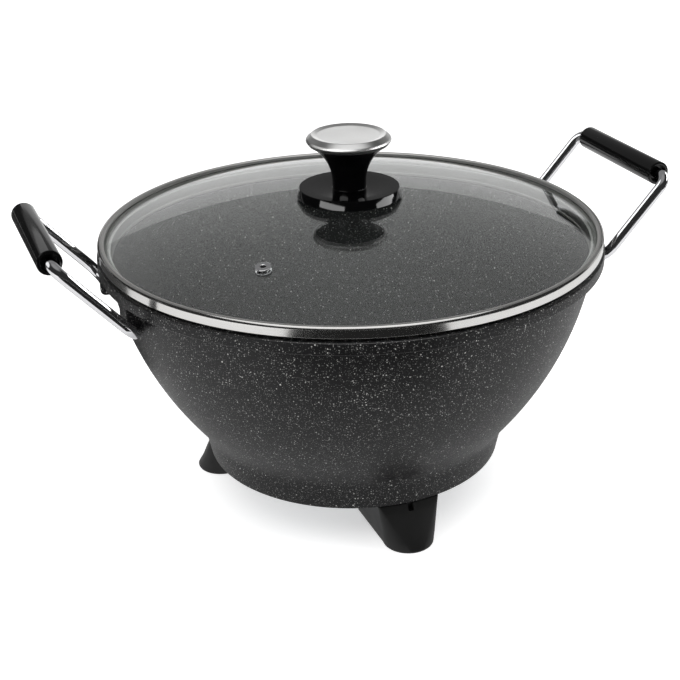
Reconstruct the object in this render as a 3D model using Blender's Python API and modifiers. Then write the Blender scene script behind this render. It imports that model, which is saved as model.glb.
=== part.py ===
"""Electric wok with a lift-off glass lid, two wire handles and three feet.

Metres, +Z up. The origin is on the table, on the axis of the bowl. +X points to
the right-hand handle, -Y to the front foot, and the inlet is at the back.
"""
import math

import bmesh
import bpy
from mathutils import Matrix, Vector

# Fits and cuts
GAP = 0.0003
OVERRUN = 0.006
MERGE = 0.00002

# Counts of facets
PAN_STEPS = 64
LID_STEPS = 56
ROUND_STEPS = 24
PIN_STEPS = 12
ARC_STEPS = 4
WALL_STEPS = 7
DOME_STEPS = 8

# Base ring and floor of the pan
FOOT_HEIGHT = 0.0332
RING_RADIUS = 0.109
RING_WALL = 0.004
RING_HEIGHT = 0.024
RING_FLARE = 0.0044
RING_FILLET = 0.018
UNDER_SPACE = 0.017
FLOOR_THICKNESS = 0.0055
FLOOR_FILLET = 0.03

# Bowl wall, an arc from the ring's corner to the rim, and the flange round its mouth
BOWL_DEPTH = 0.138
BOWL_RADIUS = 0.175
BOWL_BOW = 0.0119
BOWL_WALL = 0.0032
FLANGE_WIDTH = 0.006
FLANGE_HEIGHT = 0.0085
MOUTH_STEP = 0.0005
MOUTH_DEPTH = 0.009

# Lugs that hold the handle wires
LUG_NEAR = 0.032
LUG_WIDTH = 0.0105
LUG_DROP = 0.0195
LUG_LAP = 0.03
LUG_PIN_DEPTH = 0.0065
LUG_SKIN = 0.0055
LUG_FLOOR = 0.0015
LUG_INSET = 0.0004

# Handles: bent wire with a turned grip
WIRE_RADIUS = 0.004
WIRE_SIDE_SPACE = 0.02
WIRE_BEND = 0.0095
WIRE_LOWER_BEND = 0.014
HANDLE_REACH = 0.0509
HANDLE_RISE = 0.0566
GRIP_RADIUS = 0.0085
GRIP_END_SPACE = 0.0122
GRIP_LIP = 0.0022
GRIP_MOUTH_DEPTH = 0.004
GRIP_ROUND = 0.0012

# Lid band: a rolled steel strip with a seat and a skirt
BAND_INSET = 0.001
BAND_LIFT = 0.00235
BAND_SHEET = 0.0012
BAND_WALL = 0.0021
BEAD_RISE = 0.0038
BEAD_WIDTH = 0.005
BEAD_ROUND = 0.0022
BEAD_LIP = 0.0011
SKIRT_CLEARANCE = 0.0012
SKIRT_END_SPACE = 0.0016
SKIRT_SHEET = 0.001
SEAT_EDGE = 0.0024

# Glass dome and its silicone liner
GLASS_THICKNESS = 0.004
GLASS_SEAT = 0.0007
GLASS_RISE = 0.0275
LINER_INSET = 0.0018
LINER_WIDTH = 0.0037

# Steam vent
VENT_RUN = 0.1212
VENT_AZIMUTH = math.radians(-138.7)
VENT_BORE = 0.002
VENT_NECK = 0.0035
VENT_FLANGE = 0.0055
VENT_SHEET = 0.0008

# Knob
KNOB_BASE_RADIUS = 0.0377
KNOB_BASE_TAPER = 0.0013
KNOB_BASE_HEIGHT = 0.0066
KNOB_BASE_FLOAT = 0.0007
KNOB_RIM_WALL = 0.0022
KNOB_NECK_RADIUS = 0.012
KNOB_NECK_LIFT = 0.0032
KNOB_NECK_HEIGHT = 0.0277
KNOB_TOP_RADIUS = 0.0279
CAP_WALL = 0.0016
CAP_BULGE = 0.0024
CAP_BULGE_LIFT = 0.0029
CAP_HEIGHT = 0.0075
CAP_LIP = 0.004
CAP_DISH_DEPTH = 0.001
CAP_CREST_INSET = 0.0017
CAP_SHOULDER = 0.0017
CAP_SHOULDER_DROP = 0.0029
GASKET_RADIUS = 0.016
GASKET_HEIGHT = 0.0009
KNOB_SCREW_RADIUS = 0.0025
KNOB_SCREW_GRIP = 0.015
KNOB_SCREW_HEAD = 0.0055
KNOB_SCREW_HEAD_HEIGHT = 0.0026
WASHER_RADIUS = 0.009
WASHER_HEIGHT = 0.0012
GLASS_HOLE_SLACK = 0.001

# Feet
FOOT_TIP_INSET = 0.0035
FOOT_TIP_RADIUS = 0.0183
FOOT_TOP_OVERHANG = 0.0005
FOOT_TOP_HALF = 0.023
FOOT_INNER_INSET = 0.046
FOOT_INNER_HALF = 0.022
FOOT_INNER_LIFT = 0.008
FOOT_BACK_STEP = 0.006
FOOT_NOTCH_WIDTH = 0.004
FOOT_NOTCH_HEIGHT = 0.005
FOOT_NOTCH_DEPTH = 0.003
FOOT_SCREW_INSET = 0.014
FOOT_SCREW_RADIUS = 0.002
FOOT_SCREW_HEAD = 0.0042
FOOT_SCREW_HEAD_HEIGHT = 0.0027
FOOT_SCREW_GRIP = 0.0095
FOOT_SCREW_WEB = 0.0107
FOOT_BOSS_RADIUS = 0.005
FOOT_AZIMUTHS = {"foot_front": -90.0, "foot_right": 30.0, "foot_left": 150.0}

# Base cover
COVER_SHEET = 0.001
COVER_SCREW_INSET = 0.022
COVER_SCREW_RADIUS = 0.0018
COVER_SCREW_HEAD = 0.0035
COVER_SCREW_HEAD_HEIGHT = 0.0022
COVER_SCREW_GRIP = 0.0085
COVER_BOSS_RADIUS = 0.004
COVER_SCREW_AZIMUTHS = (-30.0, 90.0, 210.0)

# Heating element
ELEMENT_RADIUS = 0.0035
ELEMENT_INSET = 0.039
ELEMENT_OPENING = math.radians(28.0)
ELEMENT_BEND = 0.008
ELEMENT_STEPS = 26

# Inlet for the plug-in thermostat
INLET_SIDE_SPACE = 0.0055
INLET_DEPTH = 0.042
INLET_WALL = 0.0025
INLET_BACK_WALL = 0.004
INLET_RECESS = 0.008
INLET_EAR_LENGTH = 0.009
INLET_EAR_DEPTH = 0.01
INLET_EAR_THICKNESS = 0.004
INLET_EAR_FLOAT = 0.0024
INLET_EAR_SPACE = 0.0039
INLET_SCREW_RADIUS = 0.0018
INLET_SCREW_HEAD = 0.0035
INLET_SCREW_HEAD_HEIGHT = 0.0022
INLET_SCREW_GRIP = 0.005
INLET_BOSS_RADIUS = 0.004
TERMINAL_SPACING = 0.034
TERMINAL_RADIUS = 0.0025
TERMINAL_TAIL = 0.004
INSULATOR_RADIUS = 0.005
INSULATOR_FLANGE = 0.0065
INSULATOR_FLANGE_HEIGHT = 0.0024
INSULATOR_NOSE = 0.004
PROBE_RADIUS = 0.004
PROBE_WALL = 0.0008
PROBE_FLOAT = 0.0004
PROBE_END_SPACE = 0.006
PROBE_NOSE = 0.004
EARTH_HALF_WIDTH = 0.005
EARTH_SHEET = 0.001

# Heights and radii that follow from the sizes above
RING_BOTTOM_Z = FOOT_HEIGHT + GAP
UNDERSIDE_Z = RING_BOTTOM_Z + UNDER_SPACE
FLOOR_Z = UNDERSIDE_Z + FLOOR_THICKNESS
RIM_Z = FLOOR_Z + BOWL_DEPTH
RING_CORNER_Z = RING_BOTTOM_Z + RING_HEIGHT
CORNER_RADIUS = RING_RADIUS + RING_FLARE
WALL_CHORD = math.hypot(BOWL_RADIUS - CORNER_RADIUS, RIM_Z - RING_CORNER_Z)
BOWL_ARC = (WALL_CHORD ** 2 / 4 + BOWL_BOW ** 2) / (2 * BOWL_BOW)
ARC_BACK = (BOWL_ARC - BOWL_BOW) / WALL_CHORD
ARC_CENTRE_Z = (RIM_Z + RING_CORNER_Z) / 2 + ARC_BACK * (BOWL_RADIUS - CORNER_RADIUS)
ARC_CENTRE_R = (BOWL_RADIUS + CORNER_RADIUS) / 2 - ARC_BACK * (RIM_Z - RING_CORNER_Z)
FLANGE_RADIUS = BOWL_RADIUS + FLANGE_WIDTH
FLANGE_BOTTOM_Z = RIM_Z - FLANGE_HEIGHT
LEDGE_Z = RIM_Z - MOUTH_DEPTH
RING_INNER = RING_RADIUS - RING_WALL
COVER_TOP_Z = RING_BOTTOM_Z + COVER_SHEET


def outer_wall(height):
    """Outer radius of the bowl's wall at a height."""
    return ARC_CENTRE_R + math.sqrt(BOWL_ARC ** 2 - (ARC_CENTRE_Z - height) ** 2)


def inner_wall(height):
    """Inner radius of the bowl's wall at a height."""
    reach = BOWL_ARC - BOWL_WALL
    return ARC_CENTRE_R + math.sqrt(reach ** 2 - (ARC_CENTRE_Z - height) ** 2)


MOUTH_RADIUS = inner_wall(RIM_Z) + MOUTH_STEP
PIN_X = FLANGE_RADIUS - WIRE_RADIUS - LUG_SKIN
PIN_Z = FLANGE_BOTTOM_Z - LUG_DROP + LUG_FLOOR + WIRE_RADIUS
WIRE_SPREAD = LUG_NEAR + LUG_WIDTH + WIRE_SIDE_SPACE
GRIP_X = PIN_X + HANDLE_REACH
GRIP_Z = PIN_Z + HANDLE_RISE

BAND_RADIUS = FLANGE_RADIUS - BAND_INSET
BAND_INNER = BAND_RADIUS - BAND_WALL
SEAT_Z = RIM_Z + GAP
SEAT_TOP_Z = SEAT_Z + BAND_SHEET
SKIRT_RADIUS = MOUTH_RADIUS - SKIRT_CLEARANCE
SKIRT_INNER = SKIRT_RADIUS - SKIRT_SHEET
SKIRT_END_Z = LEDGE_Z + SKIRT_END_SPACE
GLASS_RADIUS = BAND_INNER - GAP
GLASS_EDGE_Z = SEAT_TOP_Z + GLASS_SEAT + GLASS_THICKNESS
GLASS_TOP_Z = GLASS_EDGE_Z + GLASS_RISE
BAND_TOP_Z = GLASS_EDGE_Z + BEAD_RISE
GLASS_SPHERE = (GLASS_RADIUS ** 2 + GLASS_RISE ** 2) / (2 * GLASS_RISE)


def glass_top(radius):
    """Height of the glass dome's upper face at a radius."""
    return GLASS_TOP_Z - GLASS_SPHERE + math.sqrt(GLASS_SPHERE ** 2 - radius ** 2)


KNOB_SCREW_BORE = KNOB_SCREW_RADIUS + GAP
KNOB_SEAT_Z = GLASS_TOP_Z + GASKET_HEIGHT + 2 * GAP
KNOB_EDGE_Z = glass_top(KNOB_BASE_RADIUS) + KNOB_BASE_FLOAT
KNOB_BASE_TOP_Z = KNOB_EDGE_Z + KNOB_BASE_HEIGHT
KNOB_NECK_Z = KNOB_BASE_TOP_Z + KNOB_NECK_LIFT
CAP_Z = KNOB_NECK_Z + KNOB_NECK_HEIGHT
CAP_INNER = KNOB_TOP_RADIUS - CAP_WALL
CAP_TOP_Z = CAP_Z + CAP_HEIGHT
CAP_CREST_RADIUS = KNOB_TOP_RADIUS - CAP_CREST_INSET
PLUG_TOP_Z = CAP_TOP_Z - CAP_DISH_DEPTH - CAP_WALL - GAP
WASHER_TOP_Z = glass_top(WASHER_RADIUS) - GLASS_THICKNESS - GAP
SCREW_SEAT_Z = WASHER_TOP_Z - WASHER_HEIGHT - GAP

FOOT_TIP_RUN = RING_RADIUS - FOOT_TIP_INSET
FOOT_INNER_RUN = RING_RADIUS - FOOT_INNER_INSET
FOOT_SCREW_RUN = RING_RADIUS - FOOT_SCREW_INSET
FOOT_SCREW_SEAT = FOOT_HEIGHT - FOOT_SCREW_WEB
ELEMENT_RUN = RING_RADIUS - ELEMENT_INSET
COVER_SCREW_RUN = ELEMENT_RUN - COVER_SCREW_INSET

TERMINAL_X = TERMINAL_SPACING / 2
TERMINAL_Z = COVER_TOP_Z + PROBE_FLOAT + PROBE_RADIUS
INLET_HALF_WIDTH = TERMINAL_X + INSULATOR_FLANGE + INLET_SIDE_SPACE
INLET_TOP_Z = UNDERSIDE_Z - 2 * GAP
INLET_BOTTOM_Z = 2 * TERMINAL_Z - INLET_TOP_Z
EAR_END_X = INLET_HALF_WIDTH + INLET_EAR_LENGTH
EAR_END_Y = math.sqrt(RING_INNER ** 2 - EAR_END_X ** 2) - INLET_EAR_SPACE
EAR_BOTTOM_Z = COVER_TOP_Z + INLET_EAR_FLOAT + INLET_SCREW_HEAD_HEIGHT + GAP
EAR_TOP_Z = EAR_BOTTOM_Z + INLET_EAR_THICKNESS
INLET_BACK_Y = EAR_END_Y - INLET_EAR_DEPTH
INLET_MOUTH_Y = INLET_BACK_Y + INLET_DEPTH
INLET_INNER_Y = INLET_BACK_Y + INLET_BACK_WALL
TERMINAL_BACK_Y = INLET_BACK_Y - TERMINAL_TAIL
PROBE_MOUTH_Y = INLET_INNER_Y + PROBE_NOSE
PROBE_END_Y = COVER_SCREW_RUN + COVER_BOSS_RADIUS + PROBE_END_SPACE
EAR_X = INLET_HALF_WIDTH + INLET_EAR_LENGTH / 2
EAR_Y = INLET_BACK_Y + INLET_EAR_DEPTH / 2
ELEMENT_Z = UNDERSIDE_Z - GAP - ELEMENT_RADIUS

PARTS = "electric_wok"
CUTTERS = "cutters"


def clear_scene():
    """Remove every object, and make the two collections."""
    for item in list(bpy.data.objects):
        bpy.data.objects.remove(item, do_unlink=True)
    for name in (PARTS, CUTTERS):
        bpy.context.scene.collection.children.link(bpy.data.collections.new(name))


def finish(name, colour, roughness, metallic=0.0, alpha=1.0):
    """A plain Principled material."""
    made = bpy.data.materials.new(name)
    made.use_nodes = True
    shader = made.node_tree.nodes["Principled BSDF"]
    shader.inputs["Base Color"].default_value = (*colour, 1.0)
    shader.inputs["Roughness"].default_value = roughness
    shader.inputs["Metallic"].default_value = metallic
    shader.inputs["Alpha"].default_value = alpha
    made.diffuse_color = (*colour, alpha)
    return made


def place(name, data, material=None, matrix=None):
    """Link an object: a part where it has a material, otherwise a cutter."""
    item = bpy.data.objects.new(name, data)
    if matrix is not None:
        item.matrix_world = matrix
    if material is None:
        bpy.data.collections[CUTTERS].objects.link(item)
        item.hide_render = True
        item.display_type = "WIRE"
    else:
        bpy.data.collections[PARTS].objects.link(item)
        data.materials.append(material)
    return item


def shade(mesh, degrees=35.0):
    """Smooth shading with sharp edges past an angle."""
    mesh.shade_smooth()
    mesh.set_sharp_from_angle(angle=math.radians(degrees))


def corner_arc(before, corner, after, radius):
    """Points of the arc that rounds a corner between two straight runs."""
    back = (before - corner).normalized()
    ahead = (after - corner).normalized()
    half = back.angle(ahead) / 2
    start = corner + back * radius / math.tan(half)
    centre = corner + (back + ahead).normalized() * radius / math.sin(half)
    spoke = (start - centre).normalized()
    turn = math.pi - 2 * half
    points = []
    for step in range(ARC_STEPS + 1):
        angle = turn * step / ARC_STEPS
        points.append(centre + (spoke * math.cos(angle) - back * math.sin(angle)) * radius)
    return points


def rounded_path(corners, radii):
    """An open path through corners, with a radius for each inner corner."""
    points = [corners[0]]
    for before, corner, after, radius in zip(corners, corners[1:], corners[2:], radii):
        points += corner_arc(before, corner, after, radius)
    points.append(corners[-1])
    return points


def turned(name, outline, material=None, steps=ROUND_STEPS, closed=False, matrix=None):
    """Turn an outline of (radius, height) points, listed down its outer side."""
    mesh = bpy.data.meshes.new(name)
    count = len(outline)
    edges = [(index, index + 1) for index in range(count - 1)]
    if closed:
        edges.append((count - 1, 0))
    mesh.from_pydata([(point[0], 0, point[1]) for point in outline], edges, [])
    item = place(name, mesh, material, matrix)
    screw = item.modifiers.new("turn", "SCREW")
    screw.axis = "Z"
    screw.steps = steps
    screw.render_steps = steps
    screw.use_merge_vertices = True
    screw.merge_threshold = MERGE
    return item


def rod(name, radius, start, end, material=None, steps=PIN_STEPS):
    """A cylinder between two points."""
    start, end = Vector(start), Vector(end)
    run = end - start
    shape = bmesh.new()
    bmesh.ops.create_cone(
        shape, cap_ends=True, segments=steps, radius1=radius, radius2=radius, depth=run.length
    )
    mesh = bpy.data.meshes.new(name)
    shape.to_mesh(mesh)
    shape.free()
    shade(mesh)
    turn = run.to_track_quat("Z", "Y").to_matrix().to_4x4()
    return place(name, mesh, material, Matrix.Translation((start + end) / 2) @ turn)


def block(name, low, high, material=None):
    """A box between two corners."""
    low, high = Vector(low), Vector(high)
    shape = bmesh.new()
    bmesh.ops.create_cube(shape, size=1.0)
    bmesh.ops.scale(shape, vec=high - low, verts=shape.verts)
    mesh = bpy.data.meshes.new(name)
    shape.to_mesh(mesh)
    shape.free()
    return place(name, mesh, material, Matrix.Translation((low + high) / 2))


def combine(target, operand, operation):
    """Add one Boolean to a target."""
    change = target.modifiers.new(operand.name, "BOOLEAN")
    change.operation = operation
    change.solver = "EXACT"
    change.object = operand


def cut(target, *operands):
    """Take cutters away from a target."""
    for operand in operands:
        combine(target, operand, "DIFFERENCE")


def join(target, *operands):
    """Unite shapes with a target."""
    for operand in operands:
        combine(target, operand, "UNION")


def evaluated_mesh(item, name):
    """The mesh of an object with its modifiers applied."""
    bpy.context.view_layer.update()
    seen = item.evaluated_get(bpy.context.evaluated_depsgraph_get())
    mesh = bpy.data.meshes.new_from_object(seen)
    mesh.name = name
    return mesh


def tube(name, points, radius, material, sides=3):
    """A wire or tube along points, with filled ends."""
    curve = bpy.data.curves.new(name, "CURVE")
    curve.dimensions = "3D"
    curve.bevel_depth = radius
    curve.bevel_resolution = sides
    curve.use_fill_caps = True
    spline = curve.splines.new("POLY")
    spline.points.add(len(points) - 1)
    for slot, point in zip(spline.points, points):
        slot.co = (*point, 1.0)
    return place(name, curve, material)


def around(azimuth, run, height=0.0):
    """A point at an azimuth in degrees, a distance from the axis, and a height."""
    angle = math.radians(azimuth)
    return Vector((run * math.cos(angle), run * math.sin(angle), height))


def screw_outline(seat, head_radius, head_height, radius, grip):
    """A pan-head screw that stands head down, with its seat at a height."""
    crown = head_height / 3
    return [
        (0, seat + grip),
        (radius, seat + grip),
        (radius, seat),
        (head_radius, seat),
        (head_radius, seat - head_height + crown),
        (head_radius - crown, seat - head_height),
        (0, seat - head_height),
    ]


def screw_set(name, outline, places, material):
    """Identical screws, one object each, on one shared mesh."""
    pattern = turned(name + "_pattern", outline, steps=PIN_STEPS)
    mesh = evaluated_mesh(pattern, name)
    bpy.data.objects.remove(pattern)
    shade(mesh)
    mesh.materials.append(material)
    for index, point in enumerate(places, 1):
        item = bpy.data.objects.new(f"{name}_{index}", mesh)
        bpy.data.collections[PARTS].objects.link(item)
        item.location = point


def foot_screw_places():
    """Where the three foot screws stand, in plan."""
    return [around(azimuth, FOOT_SCREW_RUN) for azimuth in FOOT_AZIMUTHS.values()]


def cover_screw_places():
    """Where the three cover screws stand, in plan."""
    return [around(azimuth, COVER_SCREW_RUN) for azimuth in COVER_SCREW_AZIMUTHS]


def inlet_screw_places():
    """Where the two inlet screws stand, in plan."""
    return [Vector((side * EAR_X, EAR_Y, 0)) for side in (-1, 1)]


def pan_outer_outline():
    """The pan's outside as one solid turning, from the axis at the rim down."""
    corner = Vector((outer_wall(RING_CORNER_Z), RING_CORNER_Z))
    above_z = RING_CORNER_Z + RING_FILLET
    above = Vector((outer_wall(above_z), above_z))
    foot = Vector((RING_RADIUS, RING_BOTTOM_Z))
    fillet = corner_arc(above, corner, foot, RING_FILLET)
    outline = [(0, RIM_Z), (FLANGE_RADIUS, RIM_Z), (FLANGE_RADIUS, FLANGE_BOTTOM_Z)]
    top, bottom = FLANGE_BOTTOM_Z, fillet[0][1]
    for step in range(WALL_STEPS):
        height = top + (bottom - top) * step / WALL_STEPS
        outline.append((outer_wall(height), height))
    under = [(RING_INNER, RING_BOTTOM_Z), (RING_INNER, UNDERSIDE_Z), (0, UNDERSIDE_Z)]
    return outline + fillet + [foot] + under


def pan_cavity_outline():
    """The space inside the bowl, open above the rim."""
    corner = Vector((inner_wall(FLOOR_Z), FLOOR_Z))
    above_z = FLOOR_Z + FLOOR_FILLET
    above = Vector((inner_wall(above_z), above_z))
    fillet = corner_arc(above, corner, Vector((0, FLOOR_Z)), FLOOR_FILLET)
    open_z = RIM_Z + OVERRUN
    outline = [(0, open_z), (MOUTH_RADIUS, open_z), (MOUTH_RADIUS, LEDGE_Z)]
    top, bottom = LEDGE_Z, fillet[0][1]
    for step in range(WALL_STEPS):
        height = top + (bottom - top) * step / WALL_STEPS
        outline.append((inner_wall(height), height))
    return outline + fillet + [(0, FLOOR_Z)]


def make_lug(name, side_x, side_y):
    """One lug under the flange, cut flush with the flange's edge."""
    near, far = side_y * LUG_NEAR, side_y * (LUG_NEAR + LUG_WIDTH)
    inner, outer = side_x * (FLANGE_RADIUS - LUG_LAP), side_x * (FLANGE_RADIUS + OVERRUN)
    low = (min(inner, outer), min(near, far), FLANGE_BOTTOM_Z - LUG_DROP)
    high = (max(inner, outer), max(near, far), FLANGE_BOTTOM_Z + FLANGE_HEIGHT / 2)
    lug = block(name, low, high)
    reach = FLANGE_RADIUS - LUG_INSET
    flush = rod(name + "_flush", reach, (0, 0, 0), (0, 0, RIM_Z + OVERRUN), steps=PAN_STEPS)
    combine(lug, flush, "INTERSECT")
    return lug


def make_pan(material):
    """Die-cast pan: bowl, flange, lugs, base ring and the bosses under the floor."""
    pan = turned("wok_pan", pan_outer_outline(), material, PAN_STEPS)
    for side_x in (-1, 1):
        for side_y in (-1, 1):
            join(pan, make_lug(f"lug_{side_x}_{side_y}", side_x, side_y))
    cut(pan, turned("cavity", pan_cavity_outline(), steps=PAN_STEPS))
    add_bosses(pan)
    for side_x in (-1, 1):
        for side_y in (-1, 1):
            start = (side_x * PIN_X, side_y * (LUG_NEAR + LUG_WIDTH - LUG_PIN_DEPTH - GAP), PIN_Z)
            end = (side_x * PIN_X, side_y * (LUG_NEAR + LUG_WIDTH + OVERRUN), PIN_Z)
            cut(pan, rod(f"pin_hole_{side_x}_{side_y}", WIRE_RADIUS + GAP, start, end))
    half = INLET_HALF_WIDTH + GAP
    low = (-half, INLET_BACK_Y - GAP, INLET_BOTTOM_Z - OVERRUN)
    cut(pan, block("inlet_notch", low, (half, INLET_MOUTH_Y + OVERRUN, INLET_TOP_Z + GAP)))
    return pan


def add_bosses(pan):
    """Screw bosses under the floor, each with its blind hole."""
    sets = (
        ("foot", foot_screw_places(), FOOT_BOSS_RADIUS, FOOT_SCREW_RADIUS, COVER_TOP_Z,
         FOOT_SCREW_GRIP),
        ("cover", cover_screw_places(), COVER_BOSS_RADIUS, COVER_SCREW_RADIUS, COVER_TOP_Z,
         COVER_SCREW_GRIP),
        ("inlet", inlet_screw_places(), INLET_BOSS_RADIUS, INLET_SCREW_RADIUS, EAR_TOP_Z,
         INLET_SCREW_GRIP),
    )
    root = Vector((0, 0, UNDERSIDE_Z + FLOOR_THICKNESS / 2))
    for kind, places, radius, bore, seat, grip in sets:
        face = Vector((0, 0, seat + GAP))
        mouth = Vector((0, 0, seat - OVERRUN))
        end = Vector((0, 0, seat + grip + 2 * GAP))
        for index, point in enumerate(places, 1):
            join(pan, rod(f"{kind}_boss_{index}", radius, point + face, point + root))
            cut(pan, rod(f"{kind}_hole_{index}", bore + GAP, point + mouth, point + end))


def make_foot_mesh():
    """One foot, drawn with its outward direction along +X."""
    shape = bmesh.new()
    tip = Matrix.Translation((FOOT_TIP_RUN, 0, 0))
    bmesh.ops.create_circle(shape, segments=ROUND_STEPS, radius=FOOT_TIP_RADIUS, matrix=tip)
    top_radius = RING_RADIUS + FOOT_TOP_OVERHANG
    half_angle = math.asin(FOOT_TOP_HALF / top_radius)
    for step in range(ARC_STEPS + 1):
        angle = half_angle * (2 * step / ARC_STEPS - 1)
        shape.verts.new((top_radius * math.cos(angle), top_radius * math.sin(angle), FOOT_HEIGHT))
    for side in (-1, 1):
        shape.verts.new((FOOT_INNER_RUN, side * FOOT_INNER_HALF, FOOT_INNER_LIFT))
        shape.verts.new((FOOT_INNER_RUN - FOOT_BACK_STEP, side * FOOT_INNER_HALF, FOOT_HEIGHT))
    bmesh.ops.convex_hull(shape, input=shape.verts)
    bmesh.ops.recalc_face_normals(shape, faces=shape.faces)
    mesh = bpy.data.meshes.new("foot_pattern")
    shape.to_mesh(mesh)
    shape.free()
    pattern = place("foot_pattern", mesh)
    bore_low = (FOOT_SCREW_RUN, 0, -OVERRUN)
    bore_high = (FOOT_SCREW_RUN, 0, FOOT_HEIGHT + OVERRUN)
    seat = (FOOT_SCREW_RUN, 0, FOOT_SCREW_SEAT)
    cut(pattern, rod("foot_bore", FOOT_SCREW_RADIUS + GAP, bore_low, bore_high))
    cut(pattern, rod("foot_counterbore", FOOT_SCREW_HEAD + 2 * GAP, bore_low, seat))
    notch_low = (top_radius - FOOT_NOTCH_DEPTH, -FOOT_NOTCH_WIDTH / 2, FOOT_HEIGHT - FOOT_NOTCH_HEIGHT)
    notch_high = (top_radius + OVERRUN, FOOT_NOTCH_WIDTH / 2, FOOT_HEIGHT + OVERRUN)
    cut(pattern, block("foot_notch", notch_low, notch_high))
    made = evaluated_mesh(pattern, "foot")
    bpy.data.objects.remove(pattern)
    shade(made, 20.0)
    return made


def make_feet(material):
    """Three moulded feet on one shared mesh, and their screws."""
    mesh = make_foot_mesh()
    mesh.materials.clear()
    mesh.materials.append(material)
    for name, azimuth in FOOT_AZIMUTHS.items():
        foot = bpy.data.objects.new(name, mesh)
        bpy.data.collections[PARTS].objects.link(foot)
        foot.rotation_euler = (0, 0, math.radians(azimuth))


def make_base(steel, zinc):
    """Base cover and the screws that hold the cover and the feet."""
    cover = rod(
        "base_cover", RING_INNER - GAP, (0, 0, RING_BOTTOM_Z), (0, 0, COVER_TOP_Z), steel, PAN_STEPS
    )
    half = INLET_HALF_WIDTH + GAP
    notch_y = INLET_BACK_Y - INSULATOR_FLANGE_HEIGHT - 2 * GAP
    low = (-half, notch_y, RING_BOTTOM_Z - OVERRUN)
    cut(cover, block("cover_notch", low, (half, RING_RADIUS + OVERRUN, COVER_TOP_Z + OVERRUN)))
    sets = ((foot_screw_places(), FOOT_SCREW_RADIUS), (cover_screw_places(), COVER_SCREW_RADIUS))
    for kind, (places, radius) in enumerate(sets):
        for index, point in enumerate(places):
            start = point + Vector((0, 0, RING_BOTTOM_Z - OVERRUN))
            end = point + Vector((0, 0, COVER_TOP_Z + OVERRUN))
            cut(cover, rod(f"cover_hole_{kind}_{index}", radius + GAP, start, end))
    reach = FOOT_HEIGHT - FOOT_SCREW_SEAT + COVER_SHEET + FOOT_SCREW_GRIP
    outline = screw_outline(
        FOOT_SCREW_SEAT - GAP, FOOT_SCREW_HEAD, FOOT_SCREW_HEAD_HEIGHT, FOOT_SCREW_RADIUS, reach
    )
    screw_set("foot_screw", outline, foot_screw_places(), zinc)
    outline = screw_outline(
        RING_BOTTOM_Z - GAP, COVER_SCREW_HEAD, COVER_SCREW_HEAD_HEIGHT, COVER_SCREW_RADIUS,
        COVER_SHEET + COVER_SCREW_GRIP,
    )
    screw_set("base_cover_screw", outline, cover_screw_places(), zinc)


def make_element(material):
    """Tubular element: a horseshoe against the floor, with its ends led to the inlet."""
    start = math.pi / 2 + ELEMENT_OPENING
    sweep = 2 * (math.pi - ELEMENT_OPENING)
    ring = []
    for step in range(ELEMENT_STEPS + 1):
        angle = start + sweep * step / ELEMENT_STEPS
        ring.append(Vector((ELEMENT_RUN * math.cos(angle), ELEMENT_RUN * math.sin(angle), ELEMENT_Z)))
    end_y = TERMINAL_BACK_Y - GAP
    turn_y = end_y - ELEMENT_BEND
    tails = []
    for side, head in ((-1, ring[0]), (1, ring[-1])):
        corner = Vector((side * TERMINAL_X, turn_y, TERMINAL_Z))
        tip = Vector((side * TERMINAL_X, end_y, TERMINAL_Z))
        tails.append(corner_arc(head, corner, tip, ELEMENT_BEND) + [tip])
    points = tails[0][::-1] + ring + tails[1]
    return tube("heating_element", points, ELEMENT_RADIUS, material, sides=2)


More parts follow.
